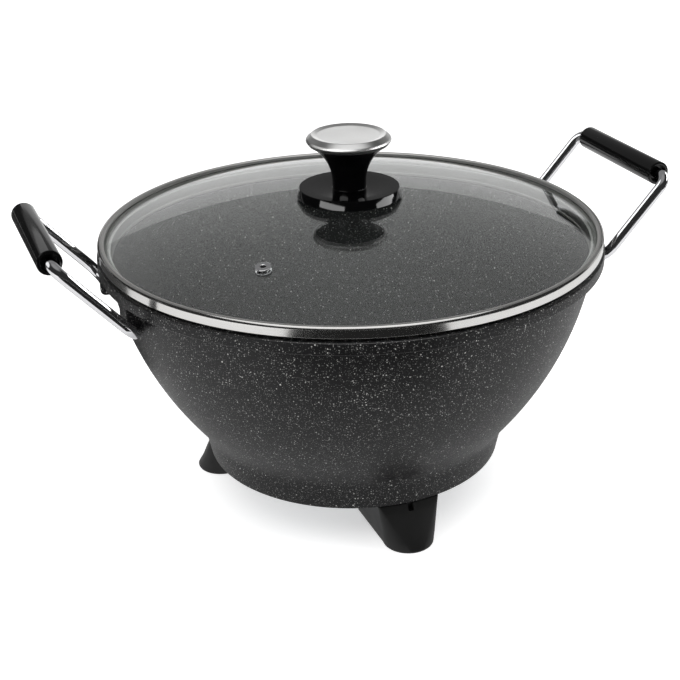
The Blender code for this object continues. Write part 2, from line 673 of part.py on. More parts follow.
def make_inlet(phenolic, ceramic, nickel, brass, zinc):
    """Inlet for the plug-in thermostat: housing, pins, bushes, probe socket, earth contact."""
    half = INLET_HALF_WIDTH
    housing = block(
        "inlet_housing", (-half, INLET_BACK_Y, INLET_BOTTOM_Z), (half, INLET_MOUTH_Y, INLET_TOP_Z),
        phenolic,
    )
    ear_low = (-EAR_END_X, INLET_BACK_Y + GAP, EAR_BOTTOM_Z)
    join(housing, block("inlet_ears", ear_low, (EAR_END_X, EAR_END_Y, EAR_TOP_Z)))
    inner = half - INLET_WALL
    cut(housing, block(
        "inlet_cavity", (-inner, INLET_INNER_Y, INLET_BOTTOM_Z + INLET_WALL),
        (inner, INLET_MOUTH_Y + OVERRUN, INLET_TOP_Z - INLET_WALL),
    ))
    back, front = INLET_BACK_Y - OVERRUN, INLET_INNER_Y + OVERRUN
    holes = ((-TERMINAL_X, INSULATOR_RADIUS), (0, PROBE_RADIUS), (TERMINAL_X, INSULATOR_RADIUS))
    for x, radius in holes:
        start, end = (x, back, TERMINAL_Z), (x, front, TERMINAL_Z)
        cut(housing, rod(f"inlet_hole_{x:.3f}", radius + GAP, start, end))
    for index, point in enumerate(inlet_screw_places()):
        start = point + Vector((0, 0, EAR_BOTTOM_Z - OVERRUN))
        end = point + Vector((0, 0, EAR_TOP_Z + OVERRUN))
        cut(housing, rod(f"ear_hole_{index}", INLET_SCREW_RADIUS + GAP, start, end))
    outline = screw_outline(
        EAR_BOTTOM_Z - GAP, INLET_SCREW_HEAD, INLET_SCREW_HEAD_HEIGHT,
        INLET_SCREW_RADIUS, INLET_EAR_THICKNESS + INLET_SCREW_GRIP,
    )
    screw_set("inlet_screw", outline, inlet_screw_places(), zinc)
    for name, x in (("live", -TERMINAL_X), ("neutral", TERMINAL_X)):
        tip_y = INLET_MOUTH_Y - INLET_RECESS
        rod(name + "_pin", TERMINAL_RADIUS, (x, TERMINAL_BACK_Y, TERMINAL_Z), (x, tip_y, TERMINAL_Z),
            nickel)
        make_insulator(name + "_insulator", x, ceramic)
    make_probe_socket(brass)
    earth_z = INLET_BOTTOM_Z + INLET_WALL + GAP
    earth_low = (-EARTH_HALF_WIDTH, PROBE_MOUTH_Y + 2 * GAP, earth_z)
    earth_high = (EARTH_HALF_WIDTH, INLET_MOUTH_Y - INLET_RECESS, earth_z + EARTH_SHEET)
    block("earth_contact", earth_low, earth_high, brass)


def along_y(x, height):
    """A frame whose Z axis points along +Y from the plane Y = 0."""
    return Matrix.Translation((x, 0, height)) @ Matrix.Rotation(-math.pi / 2, 4, "X")


def make_insulator(name, x, material):
    """A ceramic bush through the housing's back wall."""
    bore = TERMINAL_RADIUS + GAP
    seat_y = INLET_BACK_Y - GAP
    outline = [
        (bore, INLET_INNER_Y + INSULATOR_NOSE),
        (INSULATOR_RADIUS, INLET_INNER_Y + INSULATOR_NOSE),
        (INSULATOR_RADIUS, seat_y),
        (INSULATOR_FLANGE, seat_y),
        (INSULATOR_FLANGE, seat_y - INSULATOR_FLANGE_HEIGHT),
        (bore, seat_y - INSULATOR_FLANGE_HEIGHT),
    ]
    turned(name, outline, material, PIN_STEPS, closed=True, matrix=along_y(x, TERMINAL_Z))


def make_probe_socket(material):
    """The blind tube that takes the thermostat's probe."""
    bore = PROBE_RADIUS - PROBE_WALL
    outline = [
        (0, PROBE_END_Y + PROBE_WALL),
        (bore, PROBE_END_Y + PROBE_WALL),
        (bore, PROBE_MOUTH_Y),
        (PROBE_RADIUS, PROBE_MOUTH_Y),
        (PROBE_RADIUS, PROBE_END_Y),
        (0, PROBE_END_Y),
    ]
    turned("probe_socket", outline, material, PIN_STEPS, matrix=along_y(0, TERMINAL_Z))


def handle_points(side):
    """Centre line of one handle's wire, from lug to lug."""
    end_y = LUG_NEAR + LUG_WIDTH - LUG_PIN_DEPTH
    corners = [
        Vector((side * PIN_X, -end_y, PIN_Z)),
        Vector((side * PIN_X, -WIRE_SPREAD, PIN_Z)),
        Vector((side * GRIP_X, -WIRE_SPREAD, GRIP_Z)),
        Vector((side * GRIP_X, WIRE_SPREAD, GRIP_Z)),
        Vector((side * PIN_X, WIRE_SPREAD, PIN_Z)),
        Vector((side * PIN_X, end_y, PIN_Z)),
    ]
    return rounded_path(corners, (WIRE_LOWER_BEND, WIRE_BEND, WIRE_BEND, WIRE_LOWER_BEND))


def grip_outline():
    """A grip: a sleeve with a deep round mouth at each end."""
    half = WIRE_SPREAD - GRIP_END_SPACE
    bore = WIRE_RADIUS + GAP
    mouth = GRIP_RADIUS - GRIP_LIP
    floor = half - GRIP_MOUTH_DEPTH
    return [
        (bore, floor),
        (mouth, floor),
        (mouth, half),
        (GRIP_RADIUS - GRIP_ROUND, half),
        (GRIP_RADIUS, half - GRIP_ROUND),
        (GRIP_RADIUS, GRIP_ROUND - half),
        (GRIP_RADIUS - GRIP_ROUND, -half),
        (mouth, -half),
        (mouth, -floor),
        (bore, -floor),
    ]


def make_handles(chrome, black):
    """Both handles: wire and grip."""
    for name, side in (("left", -1), ("right", 1)):
        tube(name + "_handle_wire", handle_points(side), WIRE_RADIUS, chrome)
        matrix = Matrix.Translation((side * GRIP_X, 0, GRIP_Z)) @ Matrix.Rotation(-math.pi / 2, 4, "X")
        turned(name + "_grip", grip_outline(), black, ROUND_STEPS, closed=True, matrix=matrix)


def band_outline():
    """The lid's steel band: bead, outer face, seat on the flange and skirt."""
    lip = BAND_RADIUS - BEAD_WIDTH
    lip_z = glass_top(lip) + GAP
    bead = corner_arc(
        Vector((lip, lip_z + BEAD_LIP)), Vector((lip + BEAD_ROUND, BAND_TOP_Z)),
        Vector((BAND_RADIUS, BAND_TOP_Z)), BEAD_ROUND,
    )
    shoulder = corner_arc(
        Vector((lip + BEAD_ROUND, BAND_TOP_Z)), Vector((BAND_RADIUS, BAND_TOP_Z)),
        Vector((BAND_RADIUS, RIM_Z)), BEAD_ROUND,
    )
    return [
        (SKIRT_INNER, SEAT_TOP_Z),
        (BAND_INNER, SEAT_TOP_Z),
        (BAND_INNER, glass_top(BAND_INNER - GAP) + GAP),
        (lip, lip_z),
        (lip, lip_z + BEAD_LIP),
        *bead,
        *shoulder,
        (BAND_RADIUS, RIM_Z + BAND_LIFT),
        (BAND_RADIUS - BAND_SHEET, RIM_Z + BAND_LIFT),
        (BAND_RADIUS - SEAT_EDGE, SEAT_Z),
        (SKIRT_RADIUS, SEAT_Z),
        (SKIRT_RADIUS, SKIRT_END_Z),
        (SKIRT_INNER, SKIRT_END_Z),
    ]


def glass_outline():
    """The glass dome, from its centre hole out and back under."""
    hole = KNOB_SCREW_RADIUS + GLASS_HOLE_SLACK
    radii = [hole + (GLASS_RADIUS - hole) * step / DOME_STEPS for step in range(DOME_STEPS + 1)]
    top = [(radius, glass_top(radius)) for radius in radii]
    bottom = [(radius, glass_top(radius) - GLASS_THICKNESS) for radius in reversed(radii)]
    return top + bottom


def liner_outline():
    """The silicone liner between the band's seat and the glass."""
    inner = SKIRT_INNER + LINER_INSET
    outer = inner + LINER_WIDTH
    drop = GLASS_THICKNESS + GAP
    return [
        (inner, glass_top(inner) - drop),
        (outer, glass_top(outer) - drop),
        (outer, SEAT_TOP_Z + GAP),
        (inner, SEAT_TOP_Z + GAP),
    ]


def knob_outline():
    """The knob: a base disc, a neck that flares as an arc, and a plug for the cap."""
    rise = KNOB_NECK_HEIGHT
    flare = KNOB_TOP_RADIUS - KNOB_NECK_RADIUS
    arc = (rise ** 2 + flare ** 2) / (2 * flare)
    plug = CAP_INNER - GAP
    top_z = CAP_Z - GAP
    outline = [(0, PLUG_TOP_Z), (plug, PLUG_TOP_Z), (plug, top_z), (KNOB_TOP_RADIUS, top_z)]
    for step in range(1, WALL_STEPS + 1):
        height = (rise - GAP) * (1 - step / WALL_STEPS)
        radius = KNOB_NECK_RADIUS + arc - math.sqrt(arc ** 2 - height ** 2)
        outline.append((radius, KNOB_NECK_Z + height))
    edge = KNOB_BASE_RADIUS - KNOB_BASE_TAPER
    rim = KNOB_BASE_RADIUS - KNOB_RIM_WALL
    bore_top = SCREW_SEAT_Z + knob_screw_reach() + GAP
    outline += corner_arc(
        Vector((KNOB_NECK_RADIUS, KNOB_NECK_Z)), Vector((KNOB_NECK_RADIUS, KNOB_BASE_TOP_Z)),
        Vector((edge, KNOB_BASE_TOP_Z)), KNOB_NECK_LIFT - GAP,
    )
    outline += [
        (edge, KNOB_BASE_TOP_Z),
        (KNOB_BASE_RADIUS, KNOB_EDGE_Z),
        (rim, KNOB_EDGE_Z),
        (rim, KNOB_SEAT_Z),
        (KNOB_SCREW_BORE, KNOB_SEAT_Z),
        (KNOB_SCREW_BORE, bore_top),
        (0, bore_top),
    ]
    return outline


def knob_screw_reach():
    """Length of the knob screw from under its head to its tip."""
    return KNOB_SEAT_Z + KNOB_SCREW_GRIP - SCREW_SEAT_Z


def cap_outline():
    """The knob's steel cap: a dished face, a slanted band, an undercut edge, an open underside."""
    return [
        (0, CAP_TOP_Z - CAP_DISH_DEPTH),
        (CAP_CREST_RADIUS - CAP_LIP, CAP_TOP_Z - CAP_DISH_DEPTH),
        (CAP_CREST_RADIUS, CAP_TOP_Z),
        (KNOB_TOP_RADIUS + CAP_SHOULDER, CAP_TOP_Z - CAP_SHOULDER_DROP),
        (KNOB_TOP_RADIUS + CAP_BULGE, CAP_Z + CAP_BULGE_LIFT),
        (KNOB_TOP_RADIUS + GAP, CAP_Z),
        (CAP_INNER, CAP_Z),
        (CAP_INNER, PLUG_TOP_Z + GAP),
        (0, PLUG_TOP_Z + GAP),
    ]


def ring_outline(inner, outer, low, high):
    """A flat washer."""
    return [(inner, high), (outer, high), (outer, low), (inner, low)]


def vent_matrix():
    """The vent's frame: on the dome's face, with Z along the dome's normal."""
    spot = around(math.degrees(VENT_AZIMUTH), VENT_RUN, glass_top(VENT_RUN))
    normal = (spot - Vector((0, 0, GLASS_TOP_Z - GLASS_SPHERE))).normalized()
    return Matrix.Translation(spot) @ normal.to_track_quat("Z", "Y").to_matrix().to_4x4()


def vent_outline():
    """The vent's rolled eyelet, with a flange above and below the glass."""
    lower = -GLASS_THICKNESS - GAP
    return [
        (VENT_BORE, GAP + VENT_SHEET),
        (VENT_FLANGE, GAP + VENT_SHEET),
        (VENT_FLANGE, GAP),
        (VENT_NECK, GAP),
        (VENT_NECK, lower),
        (VENT_FLANGE, lower),
        (VENT_FLANGE, lower - VENT_SHEET),
        (VENT_BORE, lower - VENT_SHEET),
    ]


def make_lid(glass, steel, satin, silicone, black, zinc):
    """The lid's pieces, all carried by an empty on the lifting axis."""
    rim = turned("lid_rim", band_outline(), steel, LID_STEPS, closed=True)
    dome = turned("lid_glass", glass_outline(), glass, LID_STEPS, closed=True)
    vent = vent_matrix()
    hole = rod("vent_hole", VENT_NECK + GAP, (0, 0, -OVERRUN), (0, 0, OVERRUN))
    hole.matrix_world = vent @ hole.matrix_world
    cut(dome, hole)
    pieces = [rim, dome]
    pieces.append(turned("rim_liner", liner_outline(), silicone, LID_STEPS, closed=True))
    pieces.append(turned("vent_eyelet", vent_outline(), steel, PIN_STEPS, closed=True, matrix=vent))
    pieces.append(turned("knob_body", knob_outline(), black))
    pieces.append(turned("knob_cap", cap_outline(), satin))
    gasket_z = GLASS_TOP_Z + GAP
    gasket = ring_outline(KNOB_SCREW_BORE, GASKET_RADIUS, gasket_z, gasket_z + GASKET_HEIGHT)
    pieces.append(turned("knob_gasket", gasket, silicone, closed=True))
    washer = ring_outline(KNOB_SCREW_BORE, WASHER_RADIUS, WASHER_TOP_Z - WASHER_HEIGHT, WASHER_TOP_Z)
    pieces.append(turned("knob_washer", washer, zinc, closed=True))
    screw = screw_outline(
        SCREW_SEAT_Z, KNOB_SCREW_HEAD, KNOB_SCREW_HEAD_HEIGHT, KNOB_SCREW_RADIUS, knob_screw_reach()
    )
    pieces.append(turned("knob_screw", screw, zinc, PIN_STEPS))
    lift = bpy.data.objects.new("lid_lift", None)
    lift.location = (0, 0, RIM_Z)
    bpy.data.collections[PARTS].objects.link(lift)
    bpy.context.view_layer.update()
    for piece in pieces:
        piece.parent = lift
        piece.matrix_parent_inverse = lift.matrix_world.inverted()


def main():
    """Build the wok."""
    clear_scene()
    coating = finish("granite_coating", (0.045, 0.045, 0.047), 0.45)
    moulded = finish("moulded_black", (0.012, 0.012, 0.012), 0.5)
    gloss = finish("glossy_black", (0.008, 0.008, 0.009), 0.12)
    grip = finish("satin_black", (0.015, 0.015, 0.015), 0.35)
    chrome = finish("chrome", (0.8, 0.8, 0.82), 0.08, 1.0)
    steel = finish("polished_steel", (0.72, 0.72, 0.72), 0.15, 1.0)
    satin = finish("satin_steel", (0.62, 0.62, 0.62), 0.3, 1.0)
    zinc = finish("zinc_plate", (0.55, 0.56, 0.58), 0.35, 1.0)
    glass = finish("glass", (0.8, 0.85, 0.85), 0.02, 0.0, 0.25)
    silicone = finish("silicone", (0.55, 0.55, 0.55), 0.6)
    ceramic = finish("ceramic", (0.75, 0.73, 0.68), 0.5)
    brass = finish("brass", (0.6, 0.45, 0.18), 0.3, 1.0)
    sheath = finish("element_sheath", (0.25, 0.22, 0.2), 0.4, 1.0)
    make_pan(coating)
    make_feet(moulded)
    make_base(zinc, zinc)
    make_element(sheath)
    make_inlet(moulded, ceramic, chrome, brass, zinc)
    make_handles(chrome, grip)
    make_lid(glass, steel, satin, silicone, gloss, zinc)


main()
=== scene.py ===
"""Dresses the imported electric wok: smooth surfaces, finishes, camera and studio.

Metres, +Z up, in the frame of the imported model: the origin is on the table on the
axis of the bowl, +X points to the right-hand handle and -Y to the front foot. A corner
of an outline is (across, up) or (across, up, rounding), and on a turned piece across
is the radius.
"""
import logging
import math
from dataclasses import dataclass, field
from enum import Enum
from typing import Mapping, Sequence

import bmesh
import bpy
import numpy as np
from mathutils import Matrix, Vector


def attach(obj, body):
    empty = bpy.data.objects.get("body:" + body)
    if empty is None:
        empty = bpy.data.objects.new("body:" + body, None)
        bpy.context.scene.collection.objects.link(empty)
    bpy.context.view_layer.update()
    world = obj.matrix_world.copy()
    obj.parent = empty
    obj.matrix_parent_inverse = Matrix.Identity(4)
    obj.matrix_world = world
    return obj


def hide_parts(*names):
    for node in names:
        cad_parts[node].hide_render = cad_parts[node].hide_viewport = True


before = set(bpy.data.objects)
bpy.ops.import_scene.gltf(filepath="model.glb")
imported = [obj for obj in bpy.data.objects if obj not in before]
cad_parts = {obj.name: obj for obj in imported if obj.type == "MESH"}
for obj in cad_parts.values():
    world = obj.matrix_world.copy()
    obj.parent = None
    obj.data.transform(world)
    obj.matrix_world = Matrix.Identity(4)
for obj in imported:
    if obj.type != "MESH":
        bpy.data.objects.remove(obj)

LOG = logging.getLogger("wok")
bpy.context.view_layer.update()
MM = 0.001
MERGE_WITHIN = 2e-6
SHARP_EDGE = math.radians(32.0)
Array = np.ndarray


class Body(Enum):
    """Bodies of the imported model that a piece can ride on."""

    WOK = "wok"
    LID = "lid"
    LEFT_GRIP = "left_grip"
    RIGHT_GRIP = "right_grip"


class Side(Enum):
    """The two handles, with their sign along X."""

    LEFT = -1
    RIGHT = 1


# Surfaces on a grid


@dataclass(frozen=True)
class Grid:
    """Points of a surface of two parameters, and which of the two close on themselves."""

    points: Array
    wrap_rows: bool = False
    wrap_columns: bool = True

    def quads(self, offset: int = 0) -> Array:
        """Corner indices of each cell, counted from an offset.

        Args:
            offset: index of the grid's first point in the mesh.

        Returns:
            One row of four indices for each cell.
        """
        rows, columns = self.points.shape[:2]
        row = np.arange(rows if self.wrap_rows else rows - 1)[:, None]
        column = np.arange(columns if self.wrap_columns else columns - 1)[None, :]
        next_row, next_column = (row + 1) % rows, (column + 1) % columns
        corners = (
            row * columns + column,
            row * columns + next_column,
            next_row * columns + next_column,
            next_row * columns + column,
        )
        return np.stack(np.broadcast_arrays(*corners), axis=-1).reshape(-1, 4) + offset


def surface(name: str, *grids: Grid) -> bpy.types.Object:
    """Make one object of closed grids, with doubles merged and faces turned outwards.

    Args:
        name: name of the piece.
        *grids: the surfaces it is made of.

    Returns:
        The new object, at the origin.
    """
    offsets = np.cumsum([0] + [grid.points[..., 0].size for grid in grids])
    points = np.concatenate([grid.points.reshape(-1, 3) for grid in grids])
    quads = np.concatenate([grid.quads(start) for grid, start in zip(grids, offsets)])
    mesh = bpy.data.meshes.new(name)
    mesh.from_pydata(points, [], quads)
    tidy = bmesh.new()
    tidy.from_mesh(mesh)
    bmesh.ops.remove_doubles(tidy, verts=tidy.verts, dist=MERGE_WITHIN)
    bmesh.ops.dissolve_degenerate(tidy, edges=tidy.edges, dist=MERGE_WITHIN / 2)
    bmesh.ops.recalc_face_normals(tidy, faces=tidy.faces)
    tidy.to_mesh(mesh)
    tidy.free()
    mesh.shade_smooth()
    mesh.set_sharp_from_angle(angle=SHARP_EDGE)
    item = bpy.data.objects.new(name, mesh)
    bpy.context.scene.collection.objects.link(item)
    return item


def rounded(corners: Sequence[tuple[float, ...]], closed: bool = False, steps: int = 7) -> Array:
    """Round the corners of a flat outline.

    A rounded corner is the arc centre + radius * (spoke turned by t * turn), t from 0
    to 1, tangent to both sides.

    Args:
        corners: the outline's corners in order.
        closed: whether the last corner joins the first.
        steps: points on each arc, less one.

    Returns:
        The outline's points, one row of two for each.
    """
    flat = [np.array(corner[:2], float) for corner in corners]
    radii = [corner[2] if len(corner) > 2 else 0.0 for corner in corners]
    share = np.linspace(0.0, 1.0, steps + 1)[:, None]
    runs: list[Array] = []
    for index, (corner, radius) in enumerate(zip(flat, radii)):
        is_end = not closed and index in (0, len(flat) - 1)
        if is_end or radius <= 0.0:
            runs.append(corner[None, :])
            continue
        back = flat[index - 1] - corner
        ahead = flat[(index + 1) % len(flat)] - corner
        back, ahead = back / np.linalg.norm(back), ahead / np.linalg.norm(ahead)
        half = math.acos(float(np.clip(back @ ahead, -1.0, 1.0))) / 2
        centre = corner + (back + ahead) / np.linalg.norm(back + ahead) * radius / math.sin(half)
        spoke = (corner + back * radius / math.tan(half) - centre) / radius
        angle = (math.pi - 2 * half) * share
        runs.append(centre + radius * (spoke * np.cos(angle) - back * np.sin(angle)))
    return np.concatenate(runs)


def circle(steps: int) -> Array:
    """Angles of evenly spaced points round a circle."""
    return np.linspace(0.0, 2 * math.pi, steps, endpoint=False)


def joined(x: Array | float, y: Array | float, z: Array | float) -> Array:
    """Points of three coordinates, each spread over the shape that they share."""
    return np.stack(np.broadcast_arrays(x, y, z), axis=-1)


def turned(outline: Array, steps: int, closed: bool = False) -> Grid:
    """Turn an outline about Z: (r, h) goes to (r cos t, r sin t, h), t round the circle.

    Args:
        outline: rows of radius and height.
        steps: columns round the axis.
        closed: whether the outline is a loop.

    Returns:
        The grid of the turned surface.
    """
    angle = circle(steps)
    radius, height = outline[:, :1], outline[:, 1:2]
    return Grid(joined(radius * np.cos(angle), radius * np.sin(angle), height), wrap_rows=closed)


def lathe(
    corners: Sequence[tuple[float, ...]], columns: int, closed: bool = False, steps: int = 7
) -> Grid:
    """Round an outline's corners and turn it about Z, as rounded and turned do."""
    return turned(rounded(corners, closed, steps), columns, closed)


def moved(grid: Grid, matrix: Matrix) -> Grid:
    """Carry a grid to another place: p goes to M p.

    Args:
        grid: the surface to move.
        matrix: the 4 by 4 matrix of the move.

    Returns:
        The moved grid.
    """
    full = np.array(matrix)
    points = grid.points @ full[:3, :3].T + full[:3, 3]
    return Grid(points, grid.wrap_rows, grid.wrap_columns)


def along_y(x: float, height: float) -> Matrix:
    """The matrix that takes +Z to +Y, from the plane Y = 0."""
    return Matrix.Translation((x, 0, height)) @ Matrix.Rotation(-math.pi / 2, 4, "X")


def capped(rows: Array) -> Grid:
    """Close both ends of a stack of rings with a point at each end ring's middle.

    Args:
        rows: the rings, one row of points for each.

    Returns:
        The closed grid.
    """
    first, last = rows[:1].mean(axis=1, keepdims=True), rows[-1:].mean(axis=1, keepdims=True)
    ring = rows.shape[1]
    return Grid(np.concatenate([np.repeat(first, ring, 1), rows, np.repeat(last, ring, 1)]))


def stacked(levels: Sequence[tuple[Array, float]]) -> Grid:
    """Flat outlines one above another, closed at both ends: (x, y) goes to (x, y, z)."""
    return capped(np.stack([joined(flat[:, 0], flat[:, 1], z) for flat, z in levels]))


def smooth_higher(first: Array, second: Array, width: float) -> Array:
    """The higher of two curves, with a soft change: (a + b + sqrt((a - b)^2 + w^2)) / 2."""
    return (first + second + np.sqrt((first - second) ** 2 + width**2)) / 2


def carve(item: bpy.types.Object, grid: Grid) -> None:
    """Take a closed shape away from a piece.

    Args:
        item: the piece.
        grid: the shape to take away.
    """
    cutter = surface("cutter", grid)
    change = item.modifiers.new("cut", "BOOLEAN")
    change.operation = "DIFFERENCE"
    change.solver = "EXACT"
    change.object = cutter
    bpy.context.view_layer.update()
    seen = item.evaluated_get(bpy.context.evaluated_depsgraph_get())
    mesh = bpy.data.meshes.new_from_object(seen)
    item.modifiers.clear()
    old, item.data = item.data, mesh
    mesh.name = old.name
    mesh.set_sharp_from_angle(angle=SHARP_EDGE)
    bpy.data.meshes.remove(old)
    bpy.data.objects.remove(cutter)


# Materials


def srgb(code: str) -> tuple[float, float, float, float]:
    """Turn an sRGB hex colour to linear: c / 12.92, or ((c + 0.055) / 1.055) ^ 2.4.

    Args:
        code: six hex digits.

    Returns:
        Linear red, green, blue and an alpha of one.
    """
    parts = [int(code[start : start + 2], 16) / 255 for start in (0, 2, 4)]
    line = [part / 12.92 if part <= 0.04045 else ((part + 0.055) / 1.055) ** 2.4 for part in parts]
    return (line[0], line[1], line[2], 1.0)


def feed(node: bpy.types.Node, feeds: Mapping[str | int, object]) -> None:
    """Link or set a node's inputs.

    Args:
        node: the node.
        feeds: for an input's name or index, a value to set, a socket to link, or a node
            to link by its first output.
    """
    for key, value in feeds.items():
        source = value.outputs[0] if isinstance(value, bpy.types.Node) else value
        if isinstance(source, bpy.types.NodeSocket):
            node.id_data.links.new(source, node.inputs[key])
        else:
            node.inputs[key].default_value = source


def add(
    owner: bpy.types.Material | bpy.types.World, kind: str,
    feeds: Mapping[str | int, object] | None = None, **settings: object,
) -> bpy.types.Node:
    """Add a node with its settings and links.

    Args:
        owner: the material or world it is for.
        kind: the node's type, without its ShaderNode prefix.
        feeds: what its inputs get, as in feed.
        **settings: the node's own properties.

    Returns:
        The new node.
    """
    made = owner.node_tree.nodes.new("ShaderNode" + kind)
    for key, value in settings.items():
        setattr(made, key, value)
    feed(made, feeds or {})
    return made


def principled(
    name: str, colour: str, **values: float
) -> tuple[bpy.types.Material, bpy.types.Node, bpy.types.NodeSocket]:
    """Start a material: one Principled shader with constant values on its sockets.

    Args:
        name: the material's name.
        colour: base colour as sRGB hex.
        **values: socket values, with underscores for the spaces in their names.

    Returns:
        The material, its shader node and the socket of Object coordinates.
    """
    made = bpy.data.materials.new(name)
    made.use_nodes = True
    shader = made.node_tree.nodes["Principled BSDF"]
    feed(shader, {"Base Color": srgb(colour)})
    feed(shader, {key.replace("_", " "): value for key, value in values.items()})
    made.diffuse_color = srgb(colour)
    return made, shader, add(made, "TexCoord").outputs["Object"]


@dataclass(frozen=True)
class GraniteCoating:
    """Sprayed non-stick coating on die-cast aluminium.

    The eye sees charcoal with a fine orange peel, a dense dust of grey specks and a
    few larger white flakes. Each set of specks has a colour, a spacing, its least and
    most size as shares of that spacing, and a strength.
    """

    base: str = "1b1b1c"
    shade: str = "101011"
    shine: float = 0.27
    roughness: tuple[float, float] = (0.35, 0.47)
    cloud_size: float = 9 * MM
    peel_size: float = 1.3 * MM
    peel_depth: float = 0.16 * MM
    dust: tuple[str, float, float, float, float] = ("b4b4b2", 0.85 * MM, 0.12, 0.42, 0.62)
    specks: tuple[str, float, float, float, float] = ("d4d4d1", 1.7 * MM, 0.03, 0.3, 1.0)
    flakes: tuple[str, float, float, float, float] = ("f4f3f0", 5.0 * MM, 0.02, 0.14, 1.0)
    bare_share: float = 0.35
    dimmest: float = 0.35
    speck_edge: float = 0.06

    def material(self) -> bpy.types.Material:
        """Build the coating's material.

        Returns:
            The material.
        """
        made, shader, spot = principled("granite_coating", self.base, Specular_IOR_Level=self.shine)
        cloud = add(made, "TexNoise", {"Vector": spot, "Scale": 1 / self.cloud_size, "Detail": 4.0})
        grounds = {0: cloud, 6: srgb(self.shade), 7: srgb(self.base)}
        colour = add(made, "Mix", grounds, data_type="RGBA").outputs[2]
        # Specks are the insides of balls round scattered points, cut by the surface.
        for tint, spacing, least, most, strength in (self.dust, self.specks, self.flakes):
            cells = add(made, "TexVoronoi", {"Vector": spot, "Scale": 1 / spacing})
            pick = add(made, "SeparateColor", {0: cells.outputs["Color"]})
            sizes = {"Value": pick, "From Min": self.bare_share, "To Min": least, "To Max": most}
            size = add(made, "MapRange", sizes)
            inside = add(made, "Math", {0: size, 1: cells.outputs["Distance"]}, operation="SUBTRACT")
            mask = add(made, "MapRange", {"Value": inside, "From Max": self.speck_edge})
            glows = {"Value": pick.outputs[1], "To Min": strength * self.dimmest, "To Max": strength}
            glow = add(made, "MapRange", glows)
            amount = add(made, "Math", {0: mask, 1: glow}, operation="MULTIPLY")
            colour = add(made, "Mix", {0: amount, 6: colour, 7: srgb(tint)}, data_type="RGBA").outputs[2]
        finest, coarsest = self.roughness
        rough = add(made, "MapRange", {"Value": cloud, "To Min": finest, "To Max": coarsest})
        peel = add(made, "TexNoise", {"Vector": spot, "Scale": 1 / self.peel_size, "Detail": 3.0})
        # The flakes, whose mask is the loop's last, stand a little proud of the peel.
        height = add(made, "Math", {0: peel, 1: mask}, operation="ADD")
        bump = add(made, "Bump", {"Height": height, "Strength": 0.7, "Distance": self.peel_depth})
        feed(shader, {"Base Color": colour, "Roughness": rough, "Normal": bump})
        return made


@dataclass(frozen=True)
class TurnedMetal:
    """Metal turned, spun or rolled about the Z axis.

    The eye sees fine lines that run round the piece and smear its reflections. Inside
    the dull radius the metal is left as rolled, without the polish.
    """

    name: str
    colour: str
    roughness: float
    line_spacing: float = 0.35 * MM
    line_depth: float = 0.004 * MM
    spread: float = 0.05
    dull_radius: float = 0.0
    dull_edge: float = 0.2 * MM
    dullness: float = 0.3
    cloud_size: float = 25 * MM

    def material(self) -> bpy.types.Material:
        """Build the material, with lines at constant radius and height.

        Returns:
            The material.
        """
        made, shader, spot = principled(self.name, self.colour, Metallic=1.0)
        split = add(made, "SeparateXYZ", {0: spot})
        flat = add(made, "CombineXYZ", {0: split.outputs[0], 1: split.outputs[1]})
        radius = add(made, "VectorMath", {0: flat}, operation="LENGTH").outputs["Value"]
        ring = add(made, "CombineXYZ", {0: radius, 1: split.outputs[2]})
        lines = add(made, "TexNoise", {"Vector": ring, "Scale": 1 / self.line_spacing, "Detail": 3.0})
        cloud = add(made, "TexNoise", {"Vector": spot, "Scale": 1 / self.cloud_size, "Detail": 3.0})
        mixed = add(made, "Math", {0: lines, 1: cloud}, operation="MULTIPLY")
        rough = add(made, "MapRange", {
            "Value": mixed, "From Min": 0.1, "From Max": 0.45,
            "To Min": self.roughness - self.spread / 2, "To Max": self.roughness + self.spread,
        })
        dull = add(made, "MapRange", {
            "Value": radius, "From Min": self.dull_radius - self.dull_edge,
            "From Max": self.dull_radius, "To Min": self.dullness, "To Max": 0.0,
        })
        total = add(made, "Math", {0: rough, 1: dull}, operation="ADD")
        bump = add(made, "Bump", {"Height": lines, "Strength": 0.5, "Distance": self.line_depth})
        feed(shader, {"Roughness": total, "Normal": bump})
        return made


@dataclass(frozen=True)
class PlatedWire:
    """Steel drawn to wire, bent and chrome plated.

    The eye sees a hard mirror with faint clouds from handling.
    """

    colour: str = "e4e4e6"
    roughness: tuple[float, float] = (0.05, 0.11)
    cloud_size: float = 6 * MM

    def material(self) -> bpy.types.Material:
        """Build the chrome's material.

        Returns:
            The material.
        """
        made, shader, spot = principled("chrome_plated_wire", self.colour, Metallic=1.0)
        cloud = add(made, "TexNoise", {"Vector": spot, "Scale": 1 / self.cloud_size, "Detail": 5.0})
        clean, handled = self.roughness
        rough = add(made, "MapRange", {
            "Value": cloud, "From Min": 0.4, "From Max": 0.7, "To Min": clean, "To Max": handled,
        })
        feed(shader, {"Roughness": rough})
        return made


